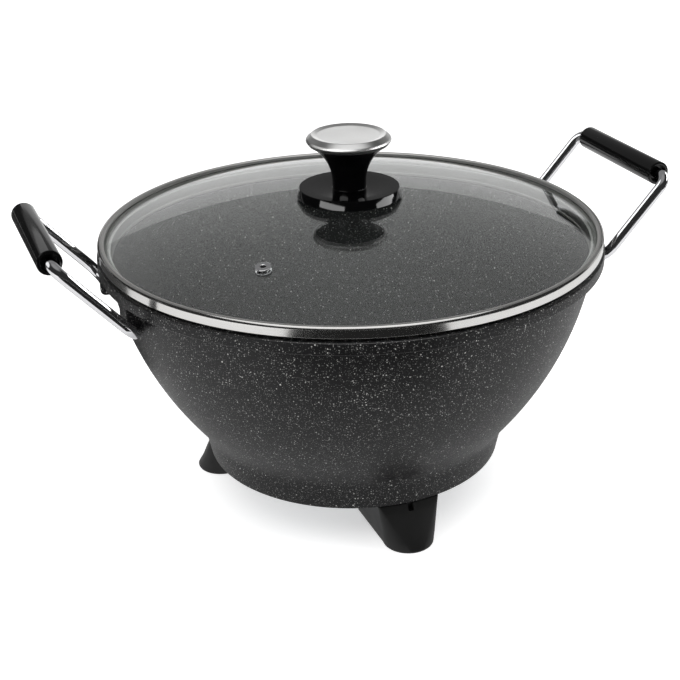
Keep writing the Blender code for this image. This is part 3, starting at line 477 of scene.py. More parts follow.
@dataclass(frozen=True)
class Moulding:
    """Moulded phenolic, silicone or ceramic, with the grain of its mould.

    The eye sees an even body whose gloss breaks up over the grain.
    """

    name: str
    colour: str
    roughness: float
    grain_size: float
    grain_depth: float
    gloss: float = 0.5
    mottle: float = 0.15
    cloud_size: float = 8 * MM

    def material(self) -> bpy.types.Material:
        """Build the moulding's material.

        Returns:
            The material.
        """
        made, shader, spot = principled(self.name, self.colour, IOR=1.5, Specular_IOR_Level=self.gloss)
        cloud = add(made, "TexNoise", {"Vector": spot, "Scale": 1 / self.cloud_size, "Detail": 4.0})
        dark, light = 1 - self.mottle, 1 + self.mottle
        tone = add(made, "MapRange", {"Value": cloud, "To Min": dark, "To Max": light})
        tint = add(made, "VectorMath", {0: srgb(self.colour)[:3], "Scale": tone}, operation="SCALE")
        smooth, coarse = self.roughness * 0.85, self.roughness * 1.2
        rough = add(made, "MapRange", {"Value": cloud, "To Min": smooth, "To Max": coarse})
        grain = add(made, "TexNoise", {"Vector": spot, "Scale": 1 / self.grain_size, "Detail": 3.0})
        bump = add(made, "Bump", {"Height": grain, "Strength": 0.5, "Distance": self.grain_depth})
        feed(shader, {"Base Color": tint, "Roughness": rough, "Normal": bump})
        return made


@dataclass(frozen=True)
class TemperedGlass:
    """Soda-lime glass, pressed to a dome and tempered.

    The eye sees clear glass with a faint green cast, a hard shine and a slight wave.
    """

    tint: str = "f1f3f2"
    shadow: str = "e6ebe9"
    wave_size: float = 60 * MM
    wave: float = 0.01 * MM

    def material(self) -> bpy.types.Material:
        """Build the glass, which lets the lamps reach what is behind it.

        Returns:
            The material.
        """
        made, shader, spot = principled(
            "tempered_glass", self.tint, Roughness=0.0, IOR=1.5, Transmission_Weight=1.0
        )
        swell = add(made, "TexNoise", {"Vector": spot, "Scale": 1 / self.wave_size, "Detail": 1.0})
        bump = add(made, "Bump", {"Height": swell, "Strength": 0.3, "Distance": self.wave})
        feed(shader, {"Normal": bump})
        clear = add(made, "BsdfTransparent", {"Color": srgb(self.shadow)})
        is_shadow = add(made, "LightPath").outputs["Is Shadow Ray"]
        lit = add(made, "MixShader", {0: is_shadow, 1: shader, 2: clear})
        feed(made.node_tree.nodes["Material Output"], {"Surface": lit})
        return made


class Finishes:
    """Every finish of the wok, made once."""

    def __init__(self) -> None:
        """Make the materials."""
        self.granite = GraniteCoating().material()
        self.moulded = Moulding("moulded_phenolic", "181818", 0.5, 0.7 * MM, 0.03 * MM, 0.45).material()
        self.glossy = Moulding("polished_phenolic", "060607", 0.07, 3 * MM, 0.004 * MM, 0.3).material()
        self.satin = Moulding("satin_phenolic", "0b0b0b", 0.11, 0.8 * MM, 0.003 * MM, 0.4).material()
        self.silicone = Moulding("grey_silicone", "8f8f8c", 0.45, 0.9 * MM, 0.02 * MM).material()
        self.ceramic = Moulding("steatite_ceramic", "d6d1c4", 0.5, 0.4 * MM, 0.03 * MM).material()
        self.wire = PlatedWire().material()
        self.band = TurnedMetal(
            "polished_stainless", "dad9d7", 0.15, 0.5 * MM, 0.002 * MM, dull_radius=0.1775
        ).material()
        self.cap = TurnedMetal("satin_stainless", "d6d6d5", 0.3, 0.4 * MM, 0.004 * MM, 0.08).material()
        self.zinc = TurnedMetal(
            "zinc_plated_steel", "b8bcc0", 0.34, 0.8 * MM, 0.004 * MM, 0.12
        ).material()
        self.brass = TurnedMetal("plain_brass", "c9a24f", 0.28).material()
        self.sheath = TurnedMetal("heated_steel_sheath", "6f655c", 0.42, 0.9 * MM).material()
        self.glass = TemperedGlass().material()


def dress(item: bpy.types.Object, material: bpy.types.Material, body: Body, node: str) -> None:
    """Give a new piece its material and body, and hide the CAD node it stands for.

    Args:
        item: the piece.
        material: its finish.
        body: the body it rides on.
        node: the CAD node that it replaces.
    """
    item.data.materials.clear()
    item.data.materials.append(material)
    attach(item, body.value)
    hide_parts(node)
    LOG.info("%s: %d faces, stands for %s", item.name, len(item.data.polygons), node)


def repaint(material: bpy.types.Material, *nodes: str) -> None:
    """Give CAD nodes that stay a finished material.

    Args:
        material: the finish.
        *nodes: names of the nodes.
    """
    for name in nodes:
        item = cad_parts[name]
        item.data.materials.clear()
        item.data.materials.append(material)
        LOG.info("%s keeps its shape", name)


# Sub-assemblies


@dataclass
class Pan:
    """Die-cast pan: bowl, flange, lugs and base ring."""

    finishes: Finishes
    flange_radius: float = 0.181
    rim_z: float = 0.194
    flange_bottom_z: float = 0.1855
    flange_fillet: float = 0.002
    ledge_z: float = 0.185
    mouth_radius: float = 0.17228
    floor_z: float = 0.056
    underside_z: float = 0.0505
    ring_bottom_z: float = 0.0335
    ring_corner_z: float = 0.0575
    ring_radius: float = 0.109
    ring_inner: float = 0.105
    arc_radius: float = 0.24153
    arc_centre: tuple[float, float] = (-0.0651, 0.2202)
    wall: float = 0.0032
    under_flange: float = 0.0022
    over_foot: float = 0.0012
    ring_blend: float = 0.0038
    ring_blend_z: float = 0.14
    ring_blend_fade: float = 0.03
    draft_height: float = 0.012
    floor_blend: float = 0.006
    floor_lap: float = 0.0001
    columns: int = 288
    notch_columns: int = 29
    outer_rows: int = 64
    inner_rows: int = 80
    notch_half: float = 0.0293
    notch_top_z: float = 0.0502
    lug_near: float = 0.032
    lug_far: float = 0.0425
    lug_bottom_z: float = 0.166
    lug_depth: float = 0.0118
    lug_top_depth: float = 0.0068
    lug_lap: float = 0.003
    lug_inset: float = 0.0004
    lug_edge: float = 0.0009
    lug_core: float = 0.005

    def arc(self, height: Array | float) -> Array:
        """Radius of the wall's arc at a height: rc + sqrt(R^2 - (zc - z)^2)."""
        reach = self.arc_radius**2 - (self.arc_centre[1] - np.asarray(height)) ** 2
        return self.arc_centre[0] + np.sqrt(reach)

    def outer_wall(self) -> Array:
        """Outside of bowl and ring: the higher of the wall's arc and the ring's straight draft.

        The change between the two is soft. Well above it the wall is the arc alone, and
        close to the ring's foot the draft alone.

        Returns:
            Rows of radius and height, downwards.
        """
        top, low = self.flange_bottom_z - self.under_flange, self.ring_bottom_z + self.over_foot
        height = top - (top - low) * np.linspace(0.0, 1.0, self.outer_rows)
        arc, corner = self.arc(height), float(self.arc(self.ring_corner_z))
        slope = (corner - self.ring_radius) / (self.ring_corner_z - self.ring_bottom_z)
        draft = self.ring_radius + slope * (height - self.ring_bottom_z)
        radius = smooth_higher(arc, draft, self.ring_blend)
        fade = np.clip((height - self.ring_blend_z) / self.ring_blend_fade, 0.0, 1.0)
        radius = radius * (1 - fade) + arc * fade
        fade = np.clip((self.ring_bottom_z + self.draft_height - height) / self.draft_height, 0.0, 1.0)
        radius = radius * (1 - fade) + draft * fade
        return np.stack([radius, height], axis=-1)

    def inner_wall(self) -> Array:
        """Inside of the bowl: the higher of the flat floor and the wall's arc.

        Returns:
            Rows of radius and height, upwards.
        """
        reach = self.arc_radius - self.wall
        stop = math.acos((self.arc_centre[1] - self.ledge_z) / reach)
        start = math.asin(-self.arc_centre[0] / reach)
        angle = start + (stop - start) * np.linspace(0.0, 1.0, self.inner_rows)
        radius = self.arc_centre[0] + reach * np.sin(angle)
        arc_z = self.arc_centre[1] - reach * np.cos(angle)
        flat = np.full_like(arc_z, self.floor_z)
        height = np.maximum(flat, smooth_higher(flat, arc_z, self.floor_blend) - self.floor_lap)
        return np.stack([np.maximum(radius, 0.0), height], axis=-1)

    def shell_outline(self) -> Array:
        """The pan's whole profile, from the middle of its floor over the rim and back under.

        Returns:
            Rows of radius and height.
        """
        inner, outer = self.inner_wall(), self.outer_wall()
        mouth = rounded([
            tuple(inner[-1]),
            (self.mouth_radius, self.ledge_z, 0.0006),
            (self.mouth_radius, self.rim_z, 0.0012),
            (self.flange_radius, self.rim_z, 0.0011),
            (self.flange_radius, self.flange_bottom_z, 0.0010),
            (float(self.arc(self.flange_bottom_z)), self.flange_bottom_z, self.flange_fillet),
            tuple(outer[0]),
        ])
        foot = rounded([
            tuple(outer[-1]),
            (self.ring_radius, self.ring_bottom_z, 0.0009),
            (self.ring_inner, self.ring_bottom_z, 0.0006),
            (self.ring_inner, self.underside_z, 0.003),
            (0.0, self.underside_z),
        ])
        return np.concatenate([inner, mouth[1:], outer[1:], foot[1:]])

    def shell(self) -> Grid:
        """The turned shell, with its ring lifted to the notch's top between the notch's sides.

        The notch takes the columns within asin(notch_half / ring_radius) of +Y: there the
        ring's points that lie below the notch's top are raised to it. A column of points
        is doubled at each side of the notch, so that its sides are upright.

        Returns:
            The closed grid.
        """
        outline = self.shell_outline()
        edge = math.asin(self.notch_half / self.ring_radius)
        open_arc = np.linspace(math.pi / 2 - edge, math.pi / 2 + edge, self.notch_columns)
        closed_arc = np.linspace(math.pi / 2 + edge, 2.5 * math.pi - edge, self.columns)
        angle = np.concatenate([open_arc, closed_arc])
        inside = np.arange(angle.size) < open_arc.size
        radius, height = outline[:, :1], outline[:, 1:2]
        x, y = radius * np.cos(angle), radius * np.sin(angle)
        low = (height < self.notch_top_z) & (radius > self.ring_inner - 0.1 * MM)
        z = np.where(low & inside, self.notch_top_z, height)
        return Grid(joined(x, y, z))

    def lug(self, side_x: int, side_y: int) -> Grid:
        """One lug: a rounded plate that follows the flange's edge.

        A point at depth d inside the flange's edge and at y lies at
        x = sqrt((R - d)^2 - y^2).

        Args:
            side_x: sign of the handle's side.
            side_y: sign of the lug's end of the handle.

        Returns:
            The closed grid.
        """
        section = rounded([
            (0.0, self.flange_bottom_z + self.lug_lap),
            (0.0, self.lug_bottom_z, 0.0042),
            (self.lug_depth, self.lug_bottom_z, 0.0008),
            (self.lug_top_depth, self.flange_bottom_z + self.lug_lap),
        ], closed=True, steps=10)
        middle = section.mean(axis=0)
        turn, edge = np.linspace(0.0, math.pi / 2, 6), self.lug_edge
        rise, run = edge * (1 - np.sin(turn)), edge * (1 - np.cos(turn))
        step_in = np.concatenate([rise, run])
        step_on = np.concatenate([run, self.lug_far - self.lug_near - rise])
        shrink = 1 - step_in[:, None, None] / self.lug_core
        flat = middle + (section - middle) * shrink
        y = side_y * (self.lug_near + step_on)[:, None]
        reach = self.flange_radius - self.lug_inset - flat[..., 0]
        x = side_x * np.sqrt(reach**2 - y**2)
        return capped(joined(x, y, flat[..., 1]))

    def build(self) -> None:
        """Make the pan."""
        lugs = [self.lug(side_x, side_y) for side_x in (-1, 1) for side_y in (-1, 1)]
        item = surface("cast_pan", self.shell(), *lugs)
        dress(item, self.finishes.granite, Body.WOK, "wok_pan")


@dataclass
class Handle:
    """One handle: a bent wire and the grip that turns on it."""

    finishes: Finishes
    side: Side
    pin_x: float = 0.1715
    pin_z: float = 0.1715
    grip_x: float = 0.2224
    grip_z: float = 0.2281
    wire_radius: float = 0.004
    spread: float = 0.0625
    pin_end: float = 0.036
    bend: float = 0.0095
    lower_bend: float = 0.014
    grip_radius: float = 0.0085
    grip_half: float = 0.0503
    rim_rounding: float = 0.0008
    mouth_radius: float = 0.0063
    mouth_depth: float = 0.004
    mouth_step: float = 0.0006
    mouth_rounding: float = 0.0003
    clearance: float = 0.0001

    def wire(self) -> Grid:
        """The wire: a circle carried along a path that lies in one slanted plane.

        The path is (s, y), with s up the slant. At each point the circle is
        p + r (n cos a + b sin a), n square to the path in the plane, b square to it.

        Returns:
            The closed grid.
        """
        slant = np.array([self.grip_x - self.pin_x, self.grip_z - self.pin_z])
        length = float(np.linalg.norm(slant))
        path = rounded([
            (0.0, -self.pin_end),
            (0.0, -self.spread, self.lower_bend),
            (length, -self.spread, self.bend),
            (length, self.spread, self.bend),
            (0.0, self.spread, self.lower_bend),
            (0.0, self.pin_end),
        ], steps=18)
        up = np.array([slant[0], 0.0, slant[1]]) / length
        cross = np.array([-up[2], 0.0, up[0]])
        along = np.array([0.0, 1.0, 0.0])
        tangent = np.gradient(path, axis=0)
        tangent /= np.linalg.norm(tangent, axis=1, keepdims=True)
        normal = np.stack([-tangent[:, 1], tangent[:, 0]], axis=-1)
        centre = np.array([self.pin_x, 0.0, self.pin_z]) + path[:, :1] * up + path[:, 1:] * along
        spoke = normal[:, :1] * up + normal[:, 1:] * along
        angle = circle(28)[None, :, None]
        ring = np.cos(angle) * spoke[:, None, :] + np.sin(angle) * cross
        rows = centre[:, None, :] + self.wire_radius * ring
        return capped(rows * np.array([self.side.value, 1.0, 1.0]))

    def grip(self) -> Grid:
        """The grip: a turned sleeve with rounded rims and a stepped mouth at each end.

        Returns:
            The closed grid.
        """
        half, floor = self.grip_half, self.grip_half - self.mouth_depth
        bore, step = self.wire_radius + self.clearance, self.mouth_radius - self.mouth_step
        end = [
            (bore, floor, 0.0),
            (step, floor, self.mouth_rounding),
            (self.mouth_radius, half, self.mouth_rounding),
            (self.grip_radius, half, self.rim_rounding),
        ]
        sleeve = lathe([*end, *((r, -z, turn) for r, z, turn in reversed(end))], 72, closed=True)
        return moved(sleeve, along_y(self.side.value * self.grip_x, self.grip_z))

    def build(self) -> None:
        """Make the wire and its grip."""
        word = self.side.name.lower()
        wire = surface(f"{word}_bent_wire", self.wire())
        dress(wire, self.finishes.wire, Body.WOK, f"{word}_handle_wire")
        grip = surface(f"{word}_sleeve", self.grip())
        dress(grip, self.finishes.satin, Body[f"{self.side.name}_GRIP"], f"{word}_grip")


@dataclass
class Lid:
    """Lid: steel band, glass dome, liner, vent, knob and cap."""

    finishes: Finishes
    band_radius: float = 0.180
    band_inner: float = 0.1779
    band_top_z: float = 0.204
    band_foot_z: float = 0.19635
    lip_inset: float = 0.005
    seat_z: float = 0.1943
    seat_top_z: float = 0.1955
    skirt_radius: float = 0.17109
    skirt_inner: float = 0.17009
    skirt_bottom_z: float = 0.1866
    skirt_curl: float = 0.0004
    liner_inset: float = 0.0018
    liner_reach: float = 0.0055
    glass_radius: float = 0.1776
    glass_top_z: float = 0.2277
    glass_rise: float = 0.0275
    glass_thickness: float = 0.004
    vent_run: float = 0.1212
    vent_azimuth: float = math.radians(-138.7)
    vent_hole: float = 0.0038
    vent_bore: float = 0.002
    vent_shank: float = 0.0035
    vent_flange: float = 0.0055
    knob_base_radius: float = 0.0377
    knob_edge_z: float = 0.22719
    knob_base_top_z: float = 0.23379
    knob_recess_z: float = 0.2292
    base_slant: float = 0.0021
    base_foot: float = 0.0022
    base_dish: float = 0.0010
    neck_radius: float = 0.012
    neck_z: float = 0.23699
    neck_top_radius: float = 0.0279
    neck_spigot: float = 0.0258
    spigot_rise: float = 0.004
    cap_z: float = 0.26469
    cap_low_radius: float = 0.0281
    cap_hollow: float = 0.0263
    cap_hollow_rise: float = 0.0045
    cap_top_z: float = 0.27219

    @property
    def sphere(self) -> float:
        """Radius of the dome's sphere: (a^2 + h^2) / 2h."""
        return (self.glass_radius**2 + self.glass_rise**2) / (2 * self.glass_rise)

    @property
    def vent_spot(self) -> tuple[float, float]:
        """The vent's middle, seen from above."""
        return self.vent_run * math.cos(self.vent_azimuth), self.vent_run * math.sin(self.vent_azimuth)

    def dome_z(self, radius: Array | float) -> Array:
        """Height of the dome's upper face: top - S + sqrt(S^2 - r^2)."""
        return self.glass_top_z - self.sphere + np.sqrt(self.sphere**2 - np.asarray(radius) ** 2)

    def band(self) -> Grid:
        """The rolled band: bead over the glass, outer face, rolled foot, seat and skirt.

        Returns:
            The closed grid.
        """
        lip, curl = self.band_radius - self.lip_inset, self.skirt_inner - self.skirt_curl
        lip_z = float(self.dome_z(lip)) + 0.0003
        return lathe([
            (self.skirt_inner, self.seat_top_z, 0.0006),
            (self.band_inner, self.seat_top_z, 0.0004),
            (self.band_inner, lip_z - 0.0006),
            (lip, lip_z, 0.0003),
            (lip + 0.0004, self.band_top_z, 0.0017),
            (self.band_radius, self.band_top_z, 0.0023),
            (self.band_radius, self.band_foot_z, 0.0006),
            (self.band_radius - 0.0012, self.band_foot_z, 0.0005),
            (self.band_radius - 0.0028, self.seat_z, 0.0006),
            (self.skirt_radius, self.seat_z, 0.0012),
            (self.skirt_radius, self.skirt_bottom_z, 0.0004),
            (curl, self.skirt_bottom_z, 0.0004),
            (curl, self.skirt_bottom_z + 0.0016, 0.0004),
            (self.skirt_inner, self.skirt_bottom_z + 0.0022, 0.0003),
        ], 320, closed=True, steps=8)

    def glass(self) -> Grid:
        """The dome with its vent hole, as circles that grow from the hole to the edge.

        Circle s has its centre at (1 - s) c and its radius at (1 - s) h + s R, with c
        and h the hole's centre and radius and R the edge's; heights follow the dome.

        Returns:
            The closed grid.
        """
        angle, share = circle(240), np.linspace(0.0, 1.0, 56)[:, None]
        reach = (1 - share) * self.vent_hole + share * self.glass_radius
        x = (1 - share) * self.vent_spot[0] + reach * np.cos(angle)
        y = (1 - share) * self.vent_spot[1] + reach * np.sin(angle)
        top = self.dome_z(np.minimum(np.hypot(x, y), self.glass_radius))
        lower = joined(x, y, top - self.glass_thickness)[::-1]
        return Grid(np.concatenate([joined(x, y, top), lower]), wrap_rows=True)

    def liner(self) -> Grid:
        """The silicone liner, squeezed between seat and glass.

        Returns:
            The closed grid.
        """
        inner, outer = self.skirt_inner + self.liner_inset, self.skirt_inner + self.liner_reach
        gap = 0.0001
        drop = self.glass_thickness + gap
        return lathe([
            (inner, float(self.dome_z(inner)) - drop, 0.0003),
            (outer, float(self.dome_z(outer)) - drop, 0.0002),
            (outer, self.seat_top_z + gap, 0.0002),
            (inner, self.seat_top_z + gap, 0.0003),
        ], 240, closed=True, steps=4)

    def vent(self) -> Grid:
        """The rolled eyelet, turned about the dome's normal at the vent.

        Returns:
            The closed grid.
        """
        spot = Vector((*self.vent_spot, float(self.dome_z(self.vent_run))))
        normal = (spot - Vector((0, 0, self.glass_top_z - self.sphere))).normalized()
        low = -self.glass_thickness - 0.0003
        eyelet = lathe([
            (self.vent_bore, 0.0011, 0.0007),
            (self.vent_flange, 0.0011, 0.0005),
            (self.vent_flange, 0.0002, 0.0003),
            (self.vent_shank, 0.0002, 0.0001),
            (self.vent_shank, low, 0.0001),
            (self.vent_flange, low, 0.0003),
            (self.vent_flange, low - 0.0008, 0.0003),
            (self.vent_bore, low - 0.0008, 0.0005),
        ], 48, closed=True)
        turn = normal.to_track_quat("Z", "Y").to_matrix().to_4x4()
        return moved(eyelet, Matrix.Translation(spot) @ turn)

    def knob(self) -> Grid:
        """The knob: dished base disc, and a neck whose radius grows as an arc with height.

        Returns:
            The closed grid.
        """
        rise, flare = self.cap_z - self.neck_z, self.neck_top_radius - self.neck_radius
        reach = (rise**2 + flare**2) / (2 * flare)
        height = np.linspace(1.0, 0.0, 40) * (rise - 0.0002)
        radius = self.neck_radius + reach - np.sqrt(reach**2 - height**2)
        neck = np.stack([radius, self.neck_z + height], axis=-1)
        top = rounded([
            (0.0, self.cap_z + self.spigot_rise),
            (self.neck_spigot, self.cap_z + self.spigot_rise, 0.0005),
            (self.neck_spigot, self.cap_z - 0.0002),
            tuple(neck[0]),
        ])
        shoulder, foot = self.knob_base_radius - self.base_slant, self.knob_base_radius - self.base_foot
        fall = self.base_dish / (shoulder - self.neck_radius)
        # Two more circles on the disc's dish keep its shading straight.
        dish = [(r, self.knob_base_top_z - fall * (shoulder - r)) for r in (0.0132, 0.0270)]
        base = rounded([
            tuple(neck[-1]),
            (self.neck_radius, self.knob_base_top_z - self.base_dish, 0.0004),
            *dish,
            (shoulder, self.knob_base_top_z, 0.0005),
            (self.knob_base_radius, self.knob_edge_z, 0.0005),
            (foot, self.knob_edge_z, 0.0004),
            (foot, self.knob_recess_z, 0.0006),
            (0.0, self.knob_recess_z),
        ])
        return turned(np.concatenate([top, neck[1:], base[1:]]), 160)

    def cap(self) -> Grid:
        """The steel cap: dished face, slanted polished band and an undercut edge.

        Returns:
            The closed grid.
        """
        top, ceiling = self.cap_top_z, self.cap_z + self.cap_hollow_rise
        return lathe([
            (0.0, top - 0.0010),
            (0.0222, top - 0.0010, 0.004),
            (0.0262, top, 0.0009),
            (0.0296, top - 0.0029, 0.003),
            (0.0303, self.cap_z + 0.0029, 0.0012),
            (self.cap_low_radius, self.cap_z, 0.0004),
            (self.cap_hollow, self.cap_z),
            (self.cap_hollow, ceiling),
            (0.0, ceiling),
        ], 160, steps=9)

    def build(self) -> None:
        """Make the lid's pieces."""
        for name, grid, material, slot, node in (
            ("rolled_band", self.band(), self.finishes.band, "polished_steel", "lid_rim"),
            ("glass_dome", self.glass(), self.finishes.glass, "glass", "lid_glass"),
            ("seat_liner", self.liner(), self.finishes.silicone, "silicone", "rim_liner"),
            ("vent_ring", self.vent(), self.finishes.wire, "polished_steel", "vent_eyelet"),
            ("knob_moulding", self.knob(), self.finishes.glossy, "glossy_black", "knob_body"),
            ("knob_face", self.cap(), self.finishes.cap, "satin_steel", "knob_cap"),
        ):
            dress(surface(name, grid), material, Body.LID, node)
        repaint(self.finishes.silicone, "knob_gasket")
        repaint(self.finishes.zinc, "knob_washer", "knob_screw")


@dataclass(frozen=True)
class Screw:
    """A pan-head screw seen from below, with a cross recess.

    Its slots are given as shares of the head's radius, and the recess of its height.
    """

    run: float
    seat_z: float
    head_radius: float
    head_height: float
    slot_half: float = 0.13
    slot_reach: float = 0.6
    recess: float = 0.45

    def head(self, azimuth: float) -> Grid:
        """The head, whose face is a shallow dome with the arms of the cross sunk in it.

        A point is at (r cos t, r sin t, seat - height * drop(r)), where drop is 1 at the
        middle and 0 at the seat. It lies in the cross where |x| or |y| is within half a
        slot's width.

        Args:
            azimuth: direction of the screw from the wok's axis, in degrees.

        Returns:
            The closed grid.
        """
        angle, face = circle(72), np.linspace(0.0, 0.9, 22)
        radius = self.head_radius * np.concatenate([face, [0.97, 1.0, 1.0, 0.0]])[:, None]
        drop = np.concatenate([1 - 0.25 * face**2, [0.62, 0.45, 0.0, 0.0]])[:, None]
        x, y = radius * np.cos(angle), radius * np.sin(angle)
        cross = np.minimum(np.abs(x), np.abs(y)) < self.head_radius * self.slot_half
        cross &= np.hypot(x, y) < self.head_radius * self.slot_reach
        z = self.seat_z - self.head_height * (drop - self.recess * cross)
        spin = math.radians(azimuth)
        return Grid(joined(x + self.run * math.cos(spin), y + self.run * math.sin(spin), z))


@dataclass
class Feet:
    """Three moulded feet, and the screws that show from below."""

    finishes: Finishes
    height: float = 0.0332
    tip_run: float = 0.1055
    tip_radius: float = 0.0183
    top_radius: float = 0.1095
    top_half: float = 0.023
    top_edge: float = 0.0003
    inner_run: float = 0.063
    inner_half: float = 0.022
    inner_z: float = 0.008
    back_run: float = 0.057
    rounding: float = 0.0022
    bore_radius: float = 0.0048
    bore_top_z: float = 0.0225
    notch_run: tuple[float, float] = (0.1065, 0.12)
    notch_half: float = 0.002
    notch_z: tuple[float, float] = (0.0282, 0.04)
    below: float = -0.002
    foot_screw: Screw = Screw(0.095, 0.0222, 0.0042, 0.0027)
    cover_screw: Screw = Screw(0.048, 0.0332, 0.0035, 0.0022)
    azimuths: Mapping[str, float] = field(
        default_factory=lambda: {"foot_front": -90.0, "foot_right": 30.0, "foot_left": 150.0}
    )
    cover_azimuths: tuple[float, ...] = (-30.0, 90.0, 210.0)

    def foot(self) -> Grid:
        """One foot, outwards along +X, as level outlines joined by straight rules.

        Each outline is, for every direction u, the farthest point of a few chosen points
        along u, plus a rounding times u. Between the tip and the top the farthest point
        slides straight from one to the other.

        Returns:
            The closed grid.
        """
        angle, inset = circle(144), self.rounding
        u = np.stack([np.cos(angle), np.sin(angle)], axis=-1)
        half_angle = math.asin((self.top_half - inset) / (self.top_radius - inset))
        fan = np.linspace(-half_angle, half_angle, 25)
        outer = (self.top_radius - inset) * np.stack([np.cos(fan), np.sin(fan)], axis=-1)
        side = self.inner_half - inset
        back = np.array([[self.back_run + inset, -side], [self.back_run + inset, side]])
        inner = np.array([[self.inner_run + inset, -side], [self.inner_run + inset, side]])

        def farthest(points: Array) -> Array:
            """The farthest of some points along each direction."""
            return points[np.argmax(u @ points.T, axis=1)]

        tip = np.array([self.tip_run, 0.0]) + (self.tip_radius - inset) * u
        top = farthest(np.concatenate([outer, back]))
        share = self.inner_z / self.height
        slid = tip * (1 - share) + top * share
        low = farthest(inner)
        nearer = np.sum(low * u, axis=1) > np.sum(slid * u, axis=1)
        middle = np.where(nearer[:, None], low, slid)
        turn = np.linspace(0.0, math.pi / 2, 6)
        levels = [(tip + inset * math.sin(t) * u, inset * (1 - math.cos(t))) for t in turn]
        for part in (0.0, 0.25, 0.5, 0.75):
            height = self.inner_z + (self.height - self.inner_z) * part
            levels.append((middle * (1 - part) + top * part + inset * u, height))
        levels.append((top + inset * u, self.height - self.top_edge))
        levels.append((top + (inset - self.top_edge) * u, self.height))
        return stacked(levels)

    def screw(self, node: str, kind: Screw, azimuth: float) -> None:
        """Make the head of one screw of a kind, at an azimuth in degrees, for its node."""
        item = surface("head_of_" + node, kind.head(azimuth))
        dress(item, self.finishes.zinc, Body.WOK, node)

    def build(self) -> None:
        """Make the feet, bored and notched, and the screws."""
        bore = lathe([
            (0.0, self.below), (self.bore_radius, self.below), (self.bore_radius, self.bore_top_z),
            (0.0, self.bore_top_z),
        ], 48)
        (near, far), half = self.notch_run, self.notch_half
        notch = np.array([(near, -half), (near, half), (far, half), (far, -half)])
        block = stacked([(notch, z) for z in self.notch_z])
        for number, (node, azimuth) in enumerate(self.azimuths.items(), 1):
            spin = Matrix.Rotation(math.radians(azimuth), 4, "Z")
            item = surface("moulded_" + node, moved(self.foot(), spin))
            carve(item, moved(bore, spin @ Matrix.Translation((self.foot_screw.run, 0, 0))))
            carve(item, moved(block, spin))
            dress(item, self.finishes.moulded, Body.WOK, node)
            self.screw(f"foot_screw_{number}", self.foot_screw, azimuth)
        for number, azimuth in enumerate(self.cover_azimuths, 1):
            self.screw(f"base_cover_screw_{number}", self.cover_screw, azimuth)
        repaint(self.finishes.zinc, "base_cover", "inlet_screw_1", "inlet_screw_2")
        repaint(self.finishes.sheath, "heating_element")


